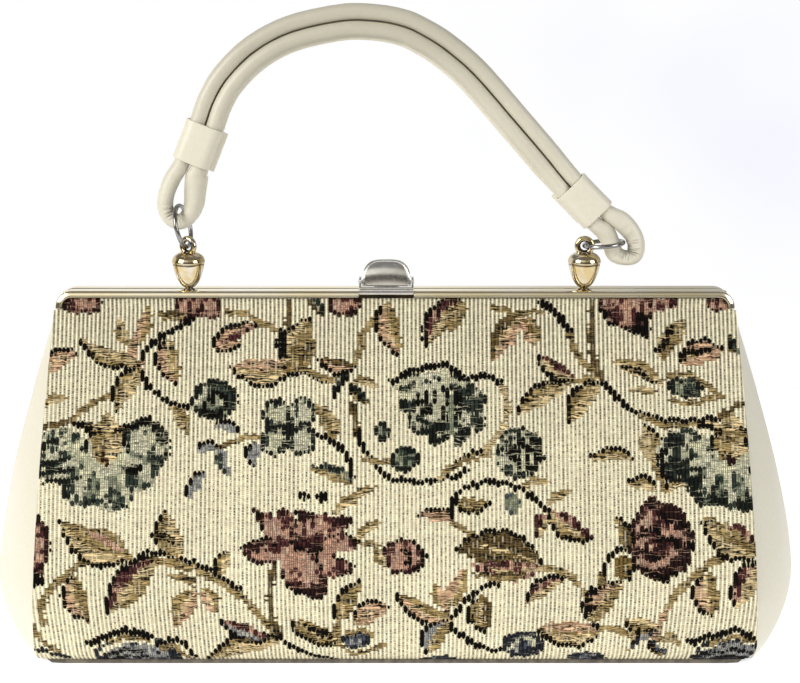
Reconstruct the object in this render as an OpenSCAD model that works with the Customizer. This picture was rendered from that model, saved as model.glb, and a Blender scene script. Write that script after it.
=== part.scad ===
// Carpet bag on a hinged metal frame, standing on its base. Millimetres, +Z up, front at -Y.

/* [Body] */
// Width of the tapestry along the lower edge
body_w = 290; // [240:1:340]
// Width of the tapestry just under the frame
top_w = 276; // [230:1:330]
// Floor to the top of the frame
body_h = 146; // [110:1:200]
// Front to back at the belly
body_d = 86; // [60:1:120]
// Height up to which the front and back stand upright
belly_z = 24; // [12:1:40]
// Roll of the cloth under the lower edges
bottom_r = 7; // [3:0.5:12]
// Rounding of the lower corners of each panel
panel_corner_r = 9; // [3:0.5:16]
// Thickness of the tapestry
cover_t = 1.2; // [0.8:0.1:2]
// Thickness of the card stiffeners
board_t = 1.4; // [1:0.1:2.5]
// Thickness of the lining
lining_t = 0.6; // [0.4:0.1:1]

/* [Gussets] */
// How far each end swells past the panels
gusset_bulge = 22.5; // [8:0.5:35]
// Height of the fullest point
gusset_crest_z = 30; // [15:1:60]
// Thickness of the vinyl
gusset_t = 1; // [0.8:0.1:1.6]

/* [Frame] */
// Width of the frame
frame_w = 276; // [230:1:330]
// Depth of one half of the frame
frame_half_d = 6.7; // [5:0.1:9]
// Height of the frame's lips
lip_h = 3; // [2:0.1:5]
// Thickness of the frame's metal
metal_t = 0.9; // [0.6:0.1:1.2]
// Radius of the frame's corners
corner_r = 7; // [5:0.5:12]
// Top of the frame down to the hinge rivets
leg_drop = 34; // [25:1:50]
// Shank radius of a hinge rivet
rivet_r = 1.5; // [1:0.1:2]

/* [Lock] */
// How far the lock and the posts sit to the right of the middle
hardware_shift = -3.5; // [-8:0.5:8]
// Width of the lock over its ears
lock_w = 22; // [16:0.5:30]
// Height of the thumb piece above the pin
tab_h = 8.6; // [6:0.1:12]
// Radius of the thumb piece's barrel
barrel_r = 2.3; // [2:0.1:3]
// Radius of the lock's pin
lock_pin_r = 0.8; // [0.6:0.05:1]

/* [Handle] */
// Distance between the two posts
post_pitch = 160.4; // [120:0.5:220]
// Radius of an acorn at its rim
acorn_r = 7; // [5:0.1:9]
// Foot of an acorn to its crown
acorn_h = 15.2; // [12:0.1:20]
// Radius of an eye, to the middle of its wire
eye_r = 2.95; // [2.4:0.05:4]
// Radius of an eye's wire
eye_wire_r = 0.95; // [0.7:0.05:1.4]
// Radius of a jump ring, to the middle of its wire
ring_r = 7.3; // [6:0.1:10]
// Radius of a jump ring's wire
ring_wire_r = 0.9; // [0.7:0.05:1.2]
// Eyes to the middle of the grip
handle_rise = 89; // [60:1:130]
// Radius of the handle's tube
tube_r = 3.2; // [2.5:0.1:4.5]
// Distance between the handle's two strands
strand_pitch = 6.7; // [6:0.1:10]
// Length of a keeper along the strands
keeper_len = 16.4; // [10:0.2:24]
// Thickness of a keeper's band
keeper_t = 0.9; // [0.6:0.1:1.4]
// Size of the loops at the ends of the handle
loop_len = 24; // [18:0.5:34]

/* [Hidden] */
$fn = 48;

gap = 0.3;
slip = 0.05;
overrun = 4;
half_w = body_w / 2;
half_d = body_d / 2;
base_half_d = half_d - bottom_r;
side_share = 1.6;
taper_share = 1.2;
gusset_fall_share = 1.35;
gusset_round_share = 2.2;
frame_y = 0.4;
frame_out_y = frame_y + frame_half_d;
cloth_y = frame_out_y - metal_t - 0.2;
cloth_top = body_h - metal_t - gap - 0.2;
corner_base = body_h - corner_r - 0.2;
neck_z = corner_base - 0.5;
hinge_z = body_h - leg_drop;
leg_t = 1.4;
leg_w = 3.2;
ear_r = 4;
leg_in = 3;
front_leg_x = frame_w / 2 - leg_in - leg_t;
back_leg_x = front_leg_x - gap - leg_t;
board_top = hinge_z - 8;
base_stack = cover_t + gap;
lining_z = base_stack + board_t + gap + 0.4;
lining_in = cover_t + board_t + gap;
lining_w = 2 * back_leg_x - 3;
board_w = top_w - 8;
gusset_z = 0.6;
gusset_top = corner_base - 1;
gusset_in = cover_t + gap / 2;
gusset_edge = 0.4;
gusset_low = 3;
gusset_rows = 22;
gusset_cols = 14;
post_y = -(frame_y + frame_half_d / 2);
eye_z = body_h + 17.9;
left_x = hardware_shift - post_pitch / 2;
right_x = hardware_shift + post_pitch / 2;
washer_t = 0.5;
shank_r = 0.7;
pin_y = post_y;
pin_z = body_h + 3.4;
ear_t = 0.8;
plate_t = 0.8;
tab_w = lock_w - 2 * ear_t - 2 * gap;

// Half width of the tapestry at height z.
function side_half(z) = half_w - (body_w - top_w) / 2 * pow(z / body_h, side_share);

// Half depth of the bag's outside at height z.
function wall_half(z) = z <= belly_z ? half_d
    : cloth_y + (half_d - cloth_y) * (1 - pow(min(1, (z - belly_z) / (neck_z - belly_z)), taper_share));
function depth_half(z) = z < bottom_r
    ? base_half_d + sqrt(pow(bottom_r, 2) - pow(bottom_r - z, 2)) : wall_half(z);

// How far an end swells at height z.
function bulge(z) = gusset_bulge * (z < gusset_crest_z
    ? sqrt(1 - pow((gusset_crest_z - z) / (gusset_crest_z + gusset_low), 2))
    : 1 - pow(min(1, (z - gusset_crest_z) / (gusset_top - gusset_crest_z)), gusset_fall_share));
function gusset_y(z) = depth_half(z) - gusset_in;
function gusset_x(z, share) = side_half(z) - gusset_edge
    + bulge(z) * (1 - pow(abs(share), gusset_round_share));

// Heights at which a wall is drawn, from low to high.
roll_steps = 6;
wall_steps = 20;
function levels(low, high) = concat(
    [for (i = [0 : roll_steps]) if (bottom_r * (1 - cos(90 * i / roll_steps)) > low + slip)
        bottom_r * (1 - cos(90 * i / roll_steps))],
    [for (i = [0 : wall_steps]) if (belly_z + (neck_z - belly_z) * i / wall_steps < high - slip)
        belly_z + (neck_z - belly_z) * i / wall_steps]);
function heights(low, high) = concat([low], [for (z = levels(low, high)) if (z < high - slip) z], [high]);

// Runs a side view (y, z) along X.
module along_x(length) {
    rotate([90, 0, 90])
        linear_extrude(height = length, center = true)
            children();
}

// Runs a front view (x, z) along Y, from y0 to y1.
module along_y(y0, y1) {
    translate([0, y1, 0])
        rotate([90, 0, 0])
            linear_extrude(height = y1 - y0)
                children();
}

// Side view of a front wall between two depths below the bag's outside.
module wall_section(near, far, low, high) {
    zs = heights(low, high);
    n = len(zs) - 1;
    polygon(concat(
        [for (i = [0 : n]) [-(depth_half(zs[i]) - near), zs[i]]],
        [for (i = [n : -1 : 0]) [-(depth_half(zs[i]) - far), zs[i]]]));
}

// Side view of all that lies inside a depth below the bag's outside.
module bag_section(inset, low, high) {
    zs = heights(low, high);
    n = len(zs) - 1;
    polygon(concat(
        [for (i = [0 : n]) [-(depth_half(zs[i]) - inset), zs[i]]],
        [for (i = [n : -1 : 0]) [depth_half(zs[i]) - inset, zs[i]]]));
}

// Front view of a panel: rounded lower corners, flared sides, top tucked into the frame.
module panel_outline() {
    r = panel_corner_r;
    tuck = metal_t + 0.2;
    tuck_r = corner_r - tuck;
    tuck_x = frame_w / 2 - tuck - tuck_r;
    tuck_z = body_h - gap - tuck - tuck_r;
    right = concat(
        [for (a = [-90 : 15 : 0]) [half_w - r + r * cos(a), r + r * sin(a)]],
        [for (z = heights(r + slip, corner_base)) [side_half(z), z]],
        [for (a = [0 : 15 : 90]) [tuck_x + tuck_r * cos(a), tuck_z + tuck_r * sin(a)]]);
    n = len(right) - 1;
    polygon(concat(right, [for (i = [n : -1 : 0]) [-right[i][0], right[i][1]]]));
}

// Front view of the frame, drawn in by an inset, down to a given height.
module frame_outline(inset, low) {
    w = frame_w / 2 - inset;
    top = body_h - inset;
    r = corner_r - inset;
    translate([-w, low])
        square([2 * w, top - r - low]);
    translate([-w + r, low])
        square([2 * (w - r), top - low]);
    for (s = [-1, 1])
        translate([s * (w - r), top - r])
            intersection() {
                circle(r = r);
                translate([-r, 0])
                    square([2 * r, r]);
            }
}

// A band of the frame's front view between two insets.
module frame_band(inner) {
    difference() {
        frame_outline(0, corner_base);
        frame_outline(inner, corner_base - overrun);
    }
}

// Half of the frame, a channel open below, with a flat leg at each end.
module frame_half(leg_x) {
    along_y(-frame_out_y, -frame_y)
        frame_band(metal_t);
    along_y(-frame_out_y, -frame_out_y + metal_t)
        frame_band(lip_h);
    along_y(-frame_y - metal_t, -frame_y)
        frame_band(lip_h);
    for (s = [-1, 1]) {
        x = s > 0 ? leg_x : -leg_x - leg_t;
        difference() {
            union() {
                translate([x, -frame_y - leg_w, hinge_z])
                    cube([leg_t, leg_w, body_h - metal_t - hinge_z]);
                translate([x, 0, hinge_z])
                    rotate([0, 90, 0])
                        cylinder(r = ear_r, h = leg_t);
            }
            translate([x - overrun, 0, hinge_z])
                rotate([0, 90, 0])
                    cylinder(r = rivet_r + slip, h = leg_t + 2 * overrun);
        }
    }
}

// Tapestry front, tucked into the frame and rolled under at the floor.
module front_cover() {
    color([0.86, 0.80, 0.66])
        intersection() {
            along_x(body_w + overrun)
                wall_section(0, cover_t, gap, cloth_top);
            along_y(-body_d, body_d)
                panel_outline();
        }
}

// Tapestry back, the same piece turned round.
module back_cover() {
    mirror([0, 1, 0])
        front_cover();
}

// Tapestry base that the bag stands on.
base_steps = 16;
module base_cover() {
    y_half = depth_half(gap) - cover_t - gap;
    inset = gusset_t + gap;
    edge = [for (i = [-base_steps : base_steps])
        [gusset_x(gusset_z, i / base_steps) - inset, y_half * i / base_steps]];
    n = len(edge) - 1;
    color([0.80, 0.73, 0.58])
        linear_extrude(height = cover_t)
            polygon(concat(edge, [for (i = [n : -1 : 0]) [-edge[i][0], edge[i][1]]]));
}

// Card behind the tapestry front, ending below the hinge so that the mouth can open.
module front_board() {
    color([0.62, 0.52, 0.38])
        along_x(board_w)
            wall_section(cover_t + gap / 2, cover_t + gap / 2 + board_t, lining_z, board_top);
}

// Card behind the tapestry back.
module back_board() {
    mirror([0, 1, 0])
        front_board();
}

// Card that keeps the base flat.
module base_board() {
    y_half = depth_half(base_stack) - cover_t - 2 * gap;
    color([0.62, 0.52, 0.38])
        translate([-board_w / 2, -y_half, base_stack])
            cube([board_w, 2 * y_half, board_t]);
}

// Lining down the front, over the base and up the back.
module lining() {
    color([0.74, 0.66, 0.52])
        along_x(lining_w)
            difference() {
                bag_section(lining_in, lining_z, cloth_top - 1);
                bag_section(lining_in + lining_t, lining_z + lining_t, body_h);
            }
}

// One vinyl end, swelling outwards between the front and the back.
module gusset() {
    m = gusset_cols;
    n = gusset_rows;
    zs = [for (i = [0 : n]) gusset_z + (gusset_top - gusset_z) * pow(i / n, side_share)];
    function skin(depth) = [for (i = [0 : n]) for (j = [0 : m])
        let (z = zs[i], share = -cos(180 * j / m))
        [gusset_x(z, share) - depth, gusset_y(z) * share, z]];
    k = (n + 1) * (m + 1);
    function at(i, j) = i * (m + 1) + j;
    outer = [for (i = [0 : n - 1]) for (j = [0 : m - 1]) for (f = [
        [at(i, j), at(i + 1, j), at(i + 1, j + 1)],
        [at(i, j), at(i + 1, j + 1), at(i, j + 1)]]) f];
    inner = [for (f = outer) [f[0] + k, f[2] + k, f[1] + k]];
    ends = [for (j = [0 : m - 1]) for (f = [
        [at(0, j), at(0, j + 1), at(0, j + 1) + k, at(0, j) + k],
        [at(n, j), at(n, j) + k, at(n, j + 1) + k, at(n, j + 1)]]) f];
    sides = [for (i = [0 : n - 1]) for (f = [
        [at(i, 0), at(i, 0) + k, at(i + 1, 0) + k, at(i + 1, 0)],
        [at(i, m), at(i + 1, m), at(i + 1, m) + k, at(i, m) + k]]) f];
    color([0.92, 0.89, 0.80])
        polyhedron(points = concat(skin(0), skin(gusset_t)), faces = concat(outer, inner, ends, sides));
}

module right_gusset() {
    gusset();
}

module left_gusset() {
    mirror([1, 0, 0])
        gusset();
}

// Front half of the frame, notched for the lock and bored for the posts.
module front_frame() {
    color([0.80, 0.68, 0.40])
        difference() {
            frame_half(front_leg_x);
            translate([hardware_shift - lock_w / 2 - gap, -frame_out_y - overrun, body_h - lip_h - gap])
                cube([lock_w + 2 * gap, overrun + metal_t, lip_h + overrun]);
            for (x = [left_x, right_x])
                translate([x, post_y, body_h - lip_h])
                    cylinder(r = shank_r + slip, h = lip_h + overrun);
        }
}

// Back half of the frame, which swings back on the rivets.
module back_frame() {
    color([0.76, 0.64, 0.37])
        mirror([0, 1, 0])
            frame_half(back_leg_x);
}

// Rivet through both legs, headed at each end.
module hinge_rivet() {
    head_r = rivet_r + 1.1;
    head_t = 0.8;
    inner = back_leg_x - gap - head_t;
    outer = front_leg_x + leg_t + gap;
    color([0.70, 0.66, 0.56])
        translate([0, 0, hinge_z])
            rotate([0, 90, 0]) {
                translate([0, 0, inner])
                    cylinder(r = rivet_r, h = outer + head_t - inner);
                translate([0, 0, inner])
                    cylinder(r = head_r, h = head_t);
                translate([0, 0, outer])
                    cylinder(r = head_r, h = head_t);
            }
}

module right_hinge_rivet() {
    hinge_rivet();
}

module left_hinge_rivet() {
    mirror([1, 0, 0])
        hinge_rivet();
}

// Lock bracket in the front half's notch: seat, rounded front bar and two ears for the pin.
module lock_bracket() {
    bar_r = 1.6;
    bar_y = -frame_out_y + metal_t - gap / 2;
    ear_top = pin_z + 2;
    color([0.78, 0.77, 0.75])
        translate([hardware_shift, 0, 0]) {
            translate([-lock_w / 2, bar_y - 0.8, body_h])
                cube([lock_w, -frame_y - gap - bar_y + 0.8, plate_t]);
            intersection() {
                translate([-lock_w / 2, bar_y, body_h + plate_t - bar_r])
                    rotate([0, 90, 0])
                        cylinder(r = bar_r, h = lock_w);
                translate([-lock_w, bar_y - overrun, body_h - lip_h])
                    cube([2 * lock_w, overrun, lip_h + overrun]);
            }
            translate([-lock_w / 2, bar_y - 0.8, body_h - lip_h])
                cube([lock_w, 0.8, lip_h]);
            for (s = [-1, 1])
                translate([s > 0 ? lock_w / 2 - ear_t : -lock_w / 2, pin_y, 0])
                    difference() {
                        translate([0, -barrel_r, body_h])
                            cube([ear_t, 2 * barrel_r, ear_top - body_h]);
                        translate([-overrun, 0, pin_z])
                            rotate([0, 90, 0])
                                cylinder(r = lock_pin_r + slip, h = ear_t + 2 * overrun);
                    }
        }
}

// Front view of the thumb piece above its barrel, a straight foot under a round head.
module tab_outline(inset) {
    r = tab_h - 1.8 - inset;
    w = tab_w / 2 - inset;
    translate([-w, pin_z])
        square([2 * w, 1.8]);
    for (s = [-1, 1])
        translate([s * (w - r), pin_z + 1.8])
            intersection() {
                circle(r = r);
                translate([-r, 0])
                    square([2 * r, r]);
            }
    translate([-w + r, pin_z])
        square([2 * (w - r), 1.8 + r]);
}

// Thumb piece: crowned plate with a rim, barrel on the pin, and a tail over the back half.
module thumb_tab() {
    crown_r = 14;
    crown_z = pin_z + 3;
    front_y = pin_y - barrel_r;
    tab_t = 1.5;
    tail_w = 10;
    tail_t = 0.8;
    tail_z = pin_z - barrel_r + 0.2;
    tail_y = frame_out_y - 2;
    coil_half = 3.1;
    color([0.84, 0.84, 0.85])
        translate([hardware_shift, 0, 0])
            difference() {
                union() {
                    intersection() {
                        along_y(front_y - overrun, front_y + tab_t)
                            tab_outline(0);
                        translate([0, front_y + crown_r, crown_z])
                            rotate([0, 90, 0])
                                cylinder(r = crown_r, h = tab_w, center = true);
                    }
                    along_y(front_y - gap, front_y + tab_t)
                        difference() {
                            tab_outline(0);
                            translate([0, -slip])
                                tab_outline(plate_t);
                        }
                    translate([-tab_w / 2, pin_y, pin_z])
                        rotate([0, 90, 0])
                            cylinder(r = barrel_r, h = tab_w);
                    translate([-tail_w / 2, pin_y, tail_z])
                        cube([tail_w, tail_y - pin_y, tail_t]);
                    translate([-tail_w / 2, tail_y - tail_t, body_h + gap])
                        cube([tail_w, tail_t, tail_z - body_h - gap + tail_t]);
                }
                translate([0, pin_y, pin_z])
                    rotate([0, 90, 0])
                        cylinder(r = lock_pin_r + slip, h = lock_w, center = true);
                translate([0, pin_y, pin_z])
                    rotate([0, 90, 0])
                        cylinder(r = barrel_r - gap, h = 2 * coil_half, center = true);
            }
}

// Pin that the thumb piece tilts on.
module lock_pin() {
    color([0.66, 0.66, 0.68])
        translate([hardware_shift, pin_y, pin_z])
            rotate([0, 90, 0])
                cylinder(r = lock_pin_r, h = lock_w + 2 * gap, center = true);
}

// Coil spring round the pin, inside the barrel.
module lock_spring() {
    coil_wire_r = 0.35;
    coil_r = lock_pin_r + slip + coil_wire_r;
    turns = 7;
    coil_step = 2 * coil_wire_r - slip;
    color([0.55, 0.55, 0.57])
        translate([hardware_shift, pin_y, pin_z])
            rotate([0, 90, 0])
                for (i = [0 : turns - 1])
                    translate([0, 0, (i - (turns - 1) / 2) * coil_step])
                        rotate_extrude()
                            translate([coil_r, 0])
                                circle(r = coil_wire_r);
}

// Acorn post: shank with a head under the frame, nut, rim, cap and a wire eye on top.
acorn_shares = [[0.28, 0.03], [0.45, 0.08], [0.62, 0.18], [0.76, 0.32], [0.85, 0.45], [0.90, 0.60]];
cap_shares = [[0.93, 0.76], [0.81, 0.86], [0.58, 0.94], [0.32, 0.98], [0, 1]];
rim_low_share = 0.62;
rim_high_share = 0.73;
module post(turn) {
    neck_r = 1.5;
    head_r = 1;
    head_t = 0.6;
    foot_z = washer_t + slip;
    rim = acorn_r - 0.5;
    color([0.82, 0.69, 0.38]) {
        translate([0, 0, body_h])
            rotate_extrude()
                polygon(concat(
                    [[0, -metal_t - slip - head_t], [head_r, -metal_t - slip - head_t],
                        [head_r, -metal_t - slip], [shank_r, -metal_t - slip], [shank_r, foot_z],
                        [neck_r, foot_z]],
                    [for (p = acorn_shares) [acorn_r * p[0], foot_z + acorn_h * p[1]]],
                    [[rim, foot_z + acorn_h * rim_low_share]],
                    [for (a = [-60 : 20 : 60]) [rim + (acorn_r - rim) * cos(a),
                        foot_z + acorn_h * (rim_low_share + rim_high_share) / 2
                            + acorn_h * (rim_high_share - rim_low_share) / 2 * sin(a)]],
                    [for (p = cap_shares) [acorn_r * p[0], foot_z + acorn_h * p[1]]]));
        translate([0, 0, eye_z])
            rotate([90, 0, turn])
                rotate_extrude()
                    translate([eye_r, 0])
                        circle(r = eye_wire_r);
    }
}

left_eye_turn = -12;
right_eye_turn = 8;

module left_post() {
    translate([left_x, post_y, 0])
        post(left_eye_turn);
}

module right_post() {
    translate([right_x, post_y, 0])
        post(right_eye_turn);
}

// Washer that a post turns on.
module washer(x) {
    washer_r = frame_half_d / 2;
    rim_t = washer_t - 0.2;
    color([0.78, 0.66, 0.38])
        translate([x, post_y, body_h])
            rotate_extrude()
                polygon([[shank_r + slip, 0], [washer_r, 0], [washer_r, rim_t / 2],
                    [washer_r - 0.6, rim_t], [washer_r / 2, washer_t], [shank_r + slip, washer_t]]);
}

module left_washer() {
    washer(left_x);
}

module right_washer() {
    washer(right_x);
}

// Jump ring through an eye: seat on the eye, lean from upright and turn about its own length.
module jump_ring(x, seat, lean, turn) {
    cut = 4;
    color([0.45, 0.45, 0.46])
        translate([x + seat[0], post_y, eye_z + seat[1]])
            rotate([0, lean, 0])
                rotate([0, 0, turn])
                    translate([0, 0, ring_r])
                        rotate([0, 90, 0])
                            rotate([0, 0, 120])
                                rotate_extrude(angle = 360 - cut)
                                    translate([ring_r, 0])
                                        circle(r = ring_wire_r);
}

module left_ring() {
    jump_ring(left_x, [0.2, -0.25], -7, -8);
}

module right_ring() {
    jump_ring(right_x, [0.25, 0], 84.5, 0);
}

// Line between the two strands, as shares of half the post pitch and of the rise over the eyes.
grip_shares = [[-0.976, 0.373], [-0.895, 0.552], [-0.855, 0.650], [-0.778, 0.745], [-0.640, 0.851],
    [-0.461, 0.927], [-0.221, 0.985], [-0.059, 0.998], [0.074, 0.985], [0.166, 0.944], [0.277, 0.872],
    [0.433, 0.763], [0.638, 0.566], [0.785, 0.410], [0.916, 0.274], [1.065, 0.139]];
// End loops, as shares of the loop length from the eyes.
left_loop_shares = [[0.221, 1.100], [0.221, 0.813], [0.138, 0.529], [-0.071, 0.404],
    [-0.288, 0.529], [-0.354, 0.804], [-0.263, 1.108]];
right_loop_shares = [[0.546, 0.504], [0.779, 0.317], [0.904, 0.038], [0.846, -0.146],
    [0.675, -0.221], [0.471, -0.121], [0.304, 0.138]];

grip = [for (p = grip_shares) [hardware_shift + p[0] * post_pitch / 2, eye_z + p[1] * handle_rise]];
grip_last = len(grip) - 1;
function unit(v) = v / norm(v);
function across(v) = [-v[1], v[0]];
function grip_side(i) = across(unit(grip[min(i + 1, grip_last)] - grip[max(i - 1, 0)]));
function strand(side) = [for (i = [0 : grip_last]) grip[i] + side * strand_pitch / 2 * grip_side(i)];
inner_strand = strand(-1);
tube_knots = concat(strand(1),
    [for (p = right_loop_shares) [right_x, eye_z] + p * loop_len],
    [for (i = [grip_last : -1 : 0]) inner_strand[i]],
    [for (p = left_loop_shares) [left_x, eye_z] + p * loop_len]);
tube_steps = 3;
tube_sides = 12;
function knot(i) = tube_knots[(i + len(tube_knots)) % len(tube_knots)];
function curve(a, b, c, d, t) = (2 * b + (c - a) * t + (2 * a - 5 * b + 4 * c - d) * pow(t, 2)
    + (3 * b - a - 3 * c + d) * pow(t, 3)) / 2;
tube_line = [for (i = [0 : len(tube_knots) - 1]) for (s = [0 : tube_steps - 1])
    curve(knot(i - 1), knot(i), knot(i + 1), knot(i + 2), s / tube_steps)];

// Handle: one vinyl tube closed on itself, two strands side by side with a loop at each end.
module handle() {
    n = len(tube_line);
    m = tube_sides;
    points = [for (i = [0 : n - 1]) for (j = [0 : m - 1])
        let (side = across(unit(tube_line[(i + 1) % n] - tube_line[(i + n - 1) % n])), a = 360 * j / m)
        [tube_line[i][0] + tube_r * cos(a) * side[0], post_y + tube_r * sin(a),
            tube_line[i][1] + tube_r * cos(a) * side[1]]];
    faces = [for (i = [0 : n - 1]) for (j = [0 : m - 1]) for (f = [
        [i * m + j, ((i + 1) % n) * m + j, ((i + 1) % n) * m + (j + 1) % m],
        [i * m + j, ((i + 1) % n) * m + (j + 1) % m, i * m + (j + 1) % m]]) f];
    color([0.93, 0.90, 0.82])
        polyhedron(points = points, faces = faces);
}

// Keeper: a flat band round both strands, with its overlap along one edge.
module keeper(from, to, flap_side) {
    middle = (from + to) / 2;
    lie = unit(to - from);
    inner_r = tube_r + gap;
    outer_r = inner_r + keeper_t;
    half_pitch = strand_pitch / 2;
    flap_w = 1.6;
    color([0.91, 0.88, 0.79])
        translate([middle[0], post_y, middle[1]])
            rotate([0, atan2(lie[0], lie[1]), 0])
                translate([0, 0, -keeper_len / 2]) {
                    linear_extrude(height = keeper_len)
                        difference() {
                            band_outline(outer_r, half_pitch);
                            band_outline(inner_r, half_pitch);
                        }
                    translate([flap_side * (half_pitch + outer_r + flap_w / 2 - gap), keeper_t, keeper_len / 2])
                        cube([flap_w + gap, keeper_t, keeper_len], center = true);
                }
}

module band_outline(r, reach) {
    square([2 * reach, 2 * r], center = true);
    for (s = [-1, 1])
        translate([s * reach, 0])
            circle(r = r);
}

module left_keeper() {
    keeper(grip[0], grip[1], 1);
}

module right_keeper() {
    keeper(grip[grip_last - 1], grip[grip_last], -1);
}

front_cover();
back_cover();
base_cover();
front_board();
back_board();
base_board();
lining();
left_gusset();
right_gusset();
front_frame();
back_frame();
left_hinge_rivet();
right_hinge_rivet();
lock_bracket();
thumb_tab();
lock_pin();
lock_spring();
left_post();
right_post();
left_washer();
right_washer();
left_ring();
right_ring();
handle();
left_keeper();
right_keeper();
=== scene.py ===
import math

import bpy
import numpy as np
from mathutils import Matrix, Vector, noise


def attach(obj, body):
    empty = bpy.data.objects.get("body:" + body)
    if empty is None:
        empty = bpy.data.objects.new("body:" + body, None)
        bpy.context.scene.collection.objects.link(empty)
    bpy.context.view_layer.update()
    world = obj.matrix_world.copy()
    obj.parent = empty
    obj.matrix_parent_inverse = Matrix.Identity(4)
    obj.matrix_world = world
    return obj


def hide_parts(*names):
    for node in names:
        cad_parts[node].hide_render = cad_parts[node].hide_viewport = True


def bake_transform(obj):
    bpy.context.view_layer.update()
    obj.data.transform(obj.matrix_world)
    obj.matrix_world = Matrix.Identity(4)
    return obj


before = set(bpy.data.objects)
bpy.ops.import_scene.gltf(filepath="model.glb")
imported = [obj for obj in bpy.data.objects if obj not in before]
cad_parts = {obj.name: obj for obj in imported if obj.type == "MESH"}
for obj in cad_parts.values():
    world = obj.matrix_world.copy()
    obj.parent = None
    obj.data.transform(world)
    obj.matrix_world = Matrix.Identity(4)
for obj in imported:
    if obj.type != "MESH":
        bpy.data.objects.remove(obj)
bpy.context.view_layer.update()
scene = bpy.context.scene

# Camera: a long lens a little above the bag, square to its front and tipped down at it.
# Its focal length is given in pixels of a picture that is 800 pixels wide.
picture_wide = 800
focal_pixels = 1554
lens = bpy.data.cameras.new("camera")
lens.sensor_width = 36
lens.lens = lens.sensor_width * focal_pixels / picture_wide
lens.shift_x = 5 / picture_wide
camera = bpy.data.objects.new("camera", lens)
camera.location = (0, -0.62645, 0.2569)
camera.rotation_euler = (math.radians(78), 0, 0)
scene.collection.objects.link(camera)
scene.camera = camera

# Tapestry weave: the walls are flared panels with rounded corners, rolled under at the floor and leaning in
# to the frame. Upright ribs are crossed by weft rows, and each crossing takes one colour. Sizes are in mm.
MM = 0.001
rail_z = 146
panel_foot = 145
panel_draw = 7
foot_corner = 9
mouth_corner_x = 131
mouth_corner_z = 138.7
mouth_corner_square = 34.8
foot_depth = 43
mouth_depth = 6
foot_roll = 7
lean_from = 24
lean_rise = 114.3
tuck_z = 144.4


def side_half(z):
    """Half the width of a panel at a height, apart from its corners."""
    return panel_foot - panel_draw * (np.clip(z, 0, rail_z) / rail_z) ** 1.6


def wall_half(z):
    """Half the depth of the bag at a height, above the roll at the floor."""
    lean = np.clip((z - lean_from) / lean_rise, 0, 1) ** 1.2
    return mouth_depth + (foot_depth - mouth_depth) * (1 - lean)


def panel_half(z):
    """Half the width of a panel at a height, with its corners."""
    low_square = foot_corner ** 2
    low = np.sqrt(np.clip(low_square - (foot_corner - z) ** 2, 0, low_square))
    high = np.sqrt(np.clip(mouth_corner_square - (z - mouth_corner_z) ** 2, 0, mouth_corner_square))
    between = np.where(z < mouth_corner_z, side_half(z), mouth_corner_x + high)
    return np.where(z < foot_corner, panel_foot - foot_corner + low, between)


roll = np.radians(np.linspace(-90, 0, 24))
rise = np.linspace(foot_roll + 0.3, tuck_z, 400)
line_y = np.concatenate([foot_depth - foot_roll + foot_roll * np.cos(roll), wall_half(rise)])
line_z = np.concatenate([foot_roll + foot_roll * np.sin(roll), rise])
line_s = np.concatenate([[0], np.cumsum(np.hypot(np.diff(line_y), np.diff(line_z)))])
rib_pitch = 1.687
ribs = 178
weft_rows = 170
rib_x = (np.arange(ribs) + 0.5 - ribs / 2) * rib_pitch
row_s = (np.arange(weft_rows) + 0.5) / weft_rows * line_s[-1]

# Woven flowers: vines, leaves and flowers drawn on a sheet, u to the right and v downwards. Each crossing
# takes a coloured weft, and dark warp dashes lie over it in the shade. Edges are uneven, as on a loom.
sheet_scale = 2.49
sheet_middle = 395
sheet_foot = 677.5
chance = np.random.default_rng(5)
sheet_u, sheet_v = np.meshgrid(sheet_middle + sheet_scale * rib_x, sheet_foot - sheet_scale * row_s)
sheet_u = sheet_u + chance.uniform(-0.9, 0.9, sheet_u.shape)
sheet_v = sheet_v + chance.uniform(-1.7, 1.7, ribs)[None, :] + chance.uniform(-0.6, 0.6, sheet_v.shape)


def linear(rgb):
    c = np.array(rgb, float) / 255
    return np.where(c <= 0.04045, c / 12.92, ((c + 0.055) / 1.055) ** 2.4)


# Yarns: c cream, k black, p pine green, s sage, m pale green, o olive, w wheat, b buff, u plum, r rose,
# t slate blue, h grey, n brown.
yarns = {
    "c": (254, 247, 219), "k": (13, 11, 8), "p": (40, 48, 42), "s": (150, 156, 130), "m": (228, 225, 192),
    "o": (172, 148, 96), "w": (226, 202, 150), "b": (220, 180, 142), "u": (66, 36, 36), "r": (208, 164, 140),
    "t": (58, 63, 74), "h": (160, 161, 158), "n": (104, 84, 46),
}
ground = linear(yarns["c"])
weft_colour = np.broadcast_to(ground, sheet_u.shape + (3,)).copy()
weft_kind = np.zeros(sheet_u.shape)
dash_share = np.zeros(sheet_u.shape)
dash_colour = np.zeros(sheet_u.shape + (3,))


def lay(where, yarn):
    weft_colour[where] = linear(yarns[yarn])
    weft_kind[where] = {"c": 0, "o": 1, "w": 1, "n": 1, "b": 1}.get(yarn, 0.7)
    dash_share[where] = 0


def dash(where, share, yarn="k"):
    dash_share[where] = share[where] if isinstance(share, np.ndarray) else share
    dash_colour[where] = linear(yarns[yarn])


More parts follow.
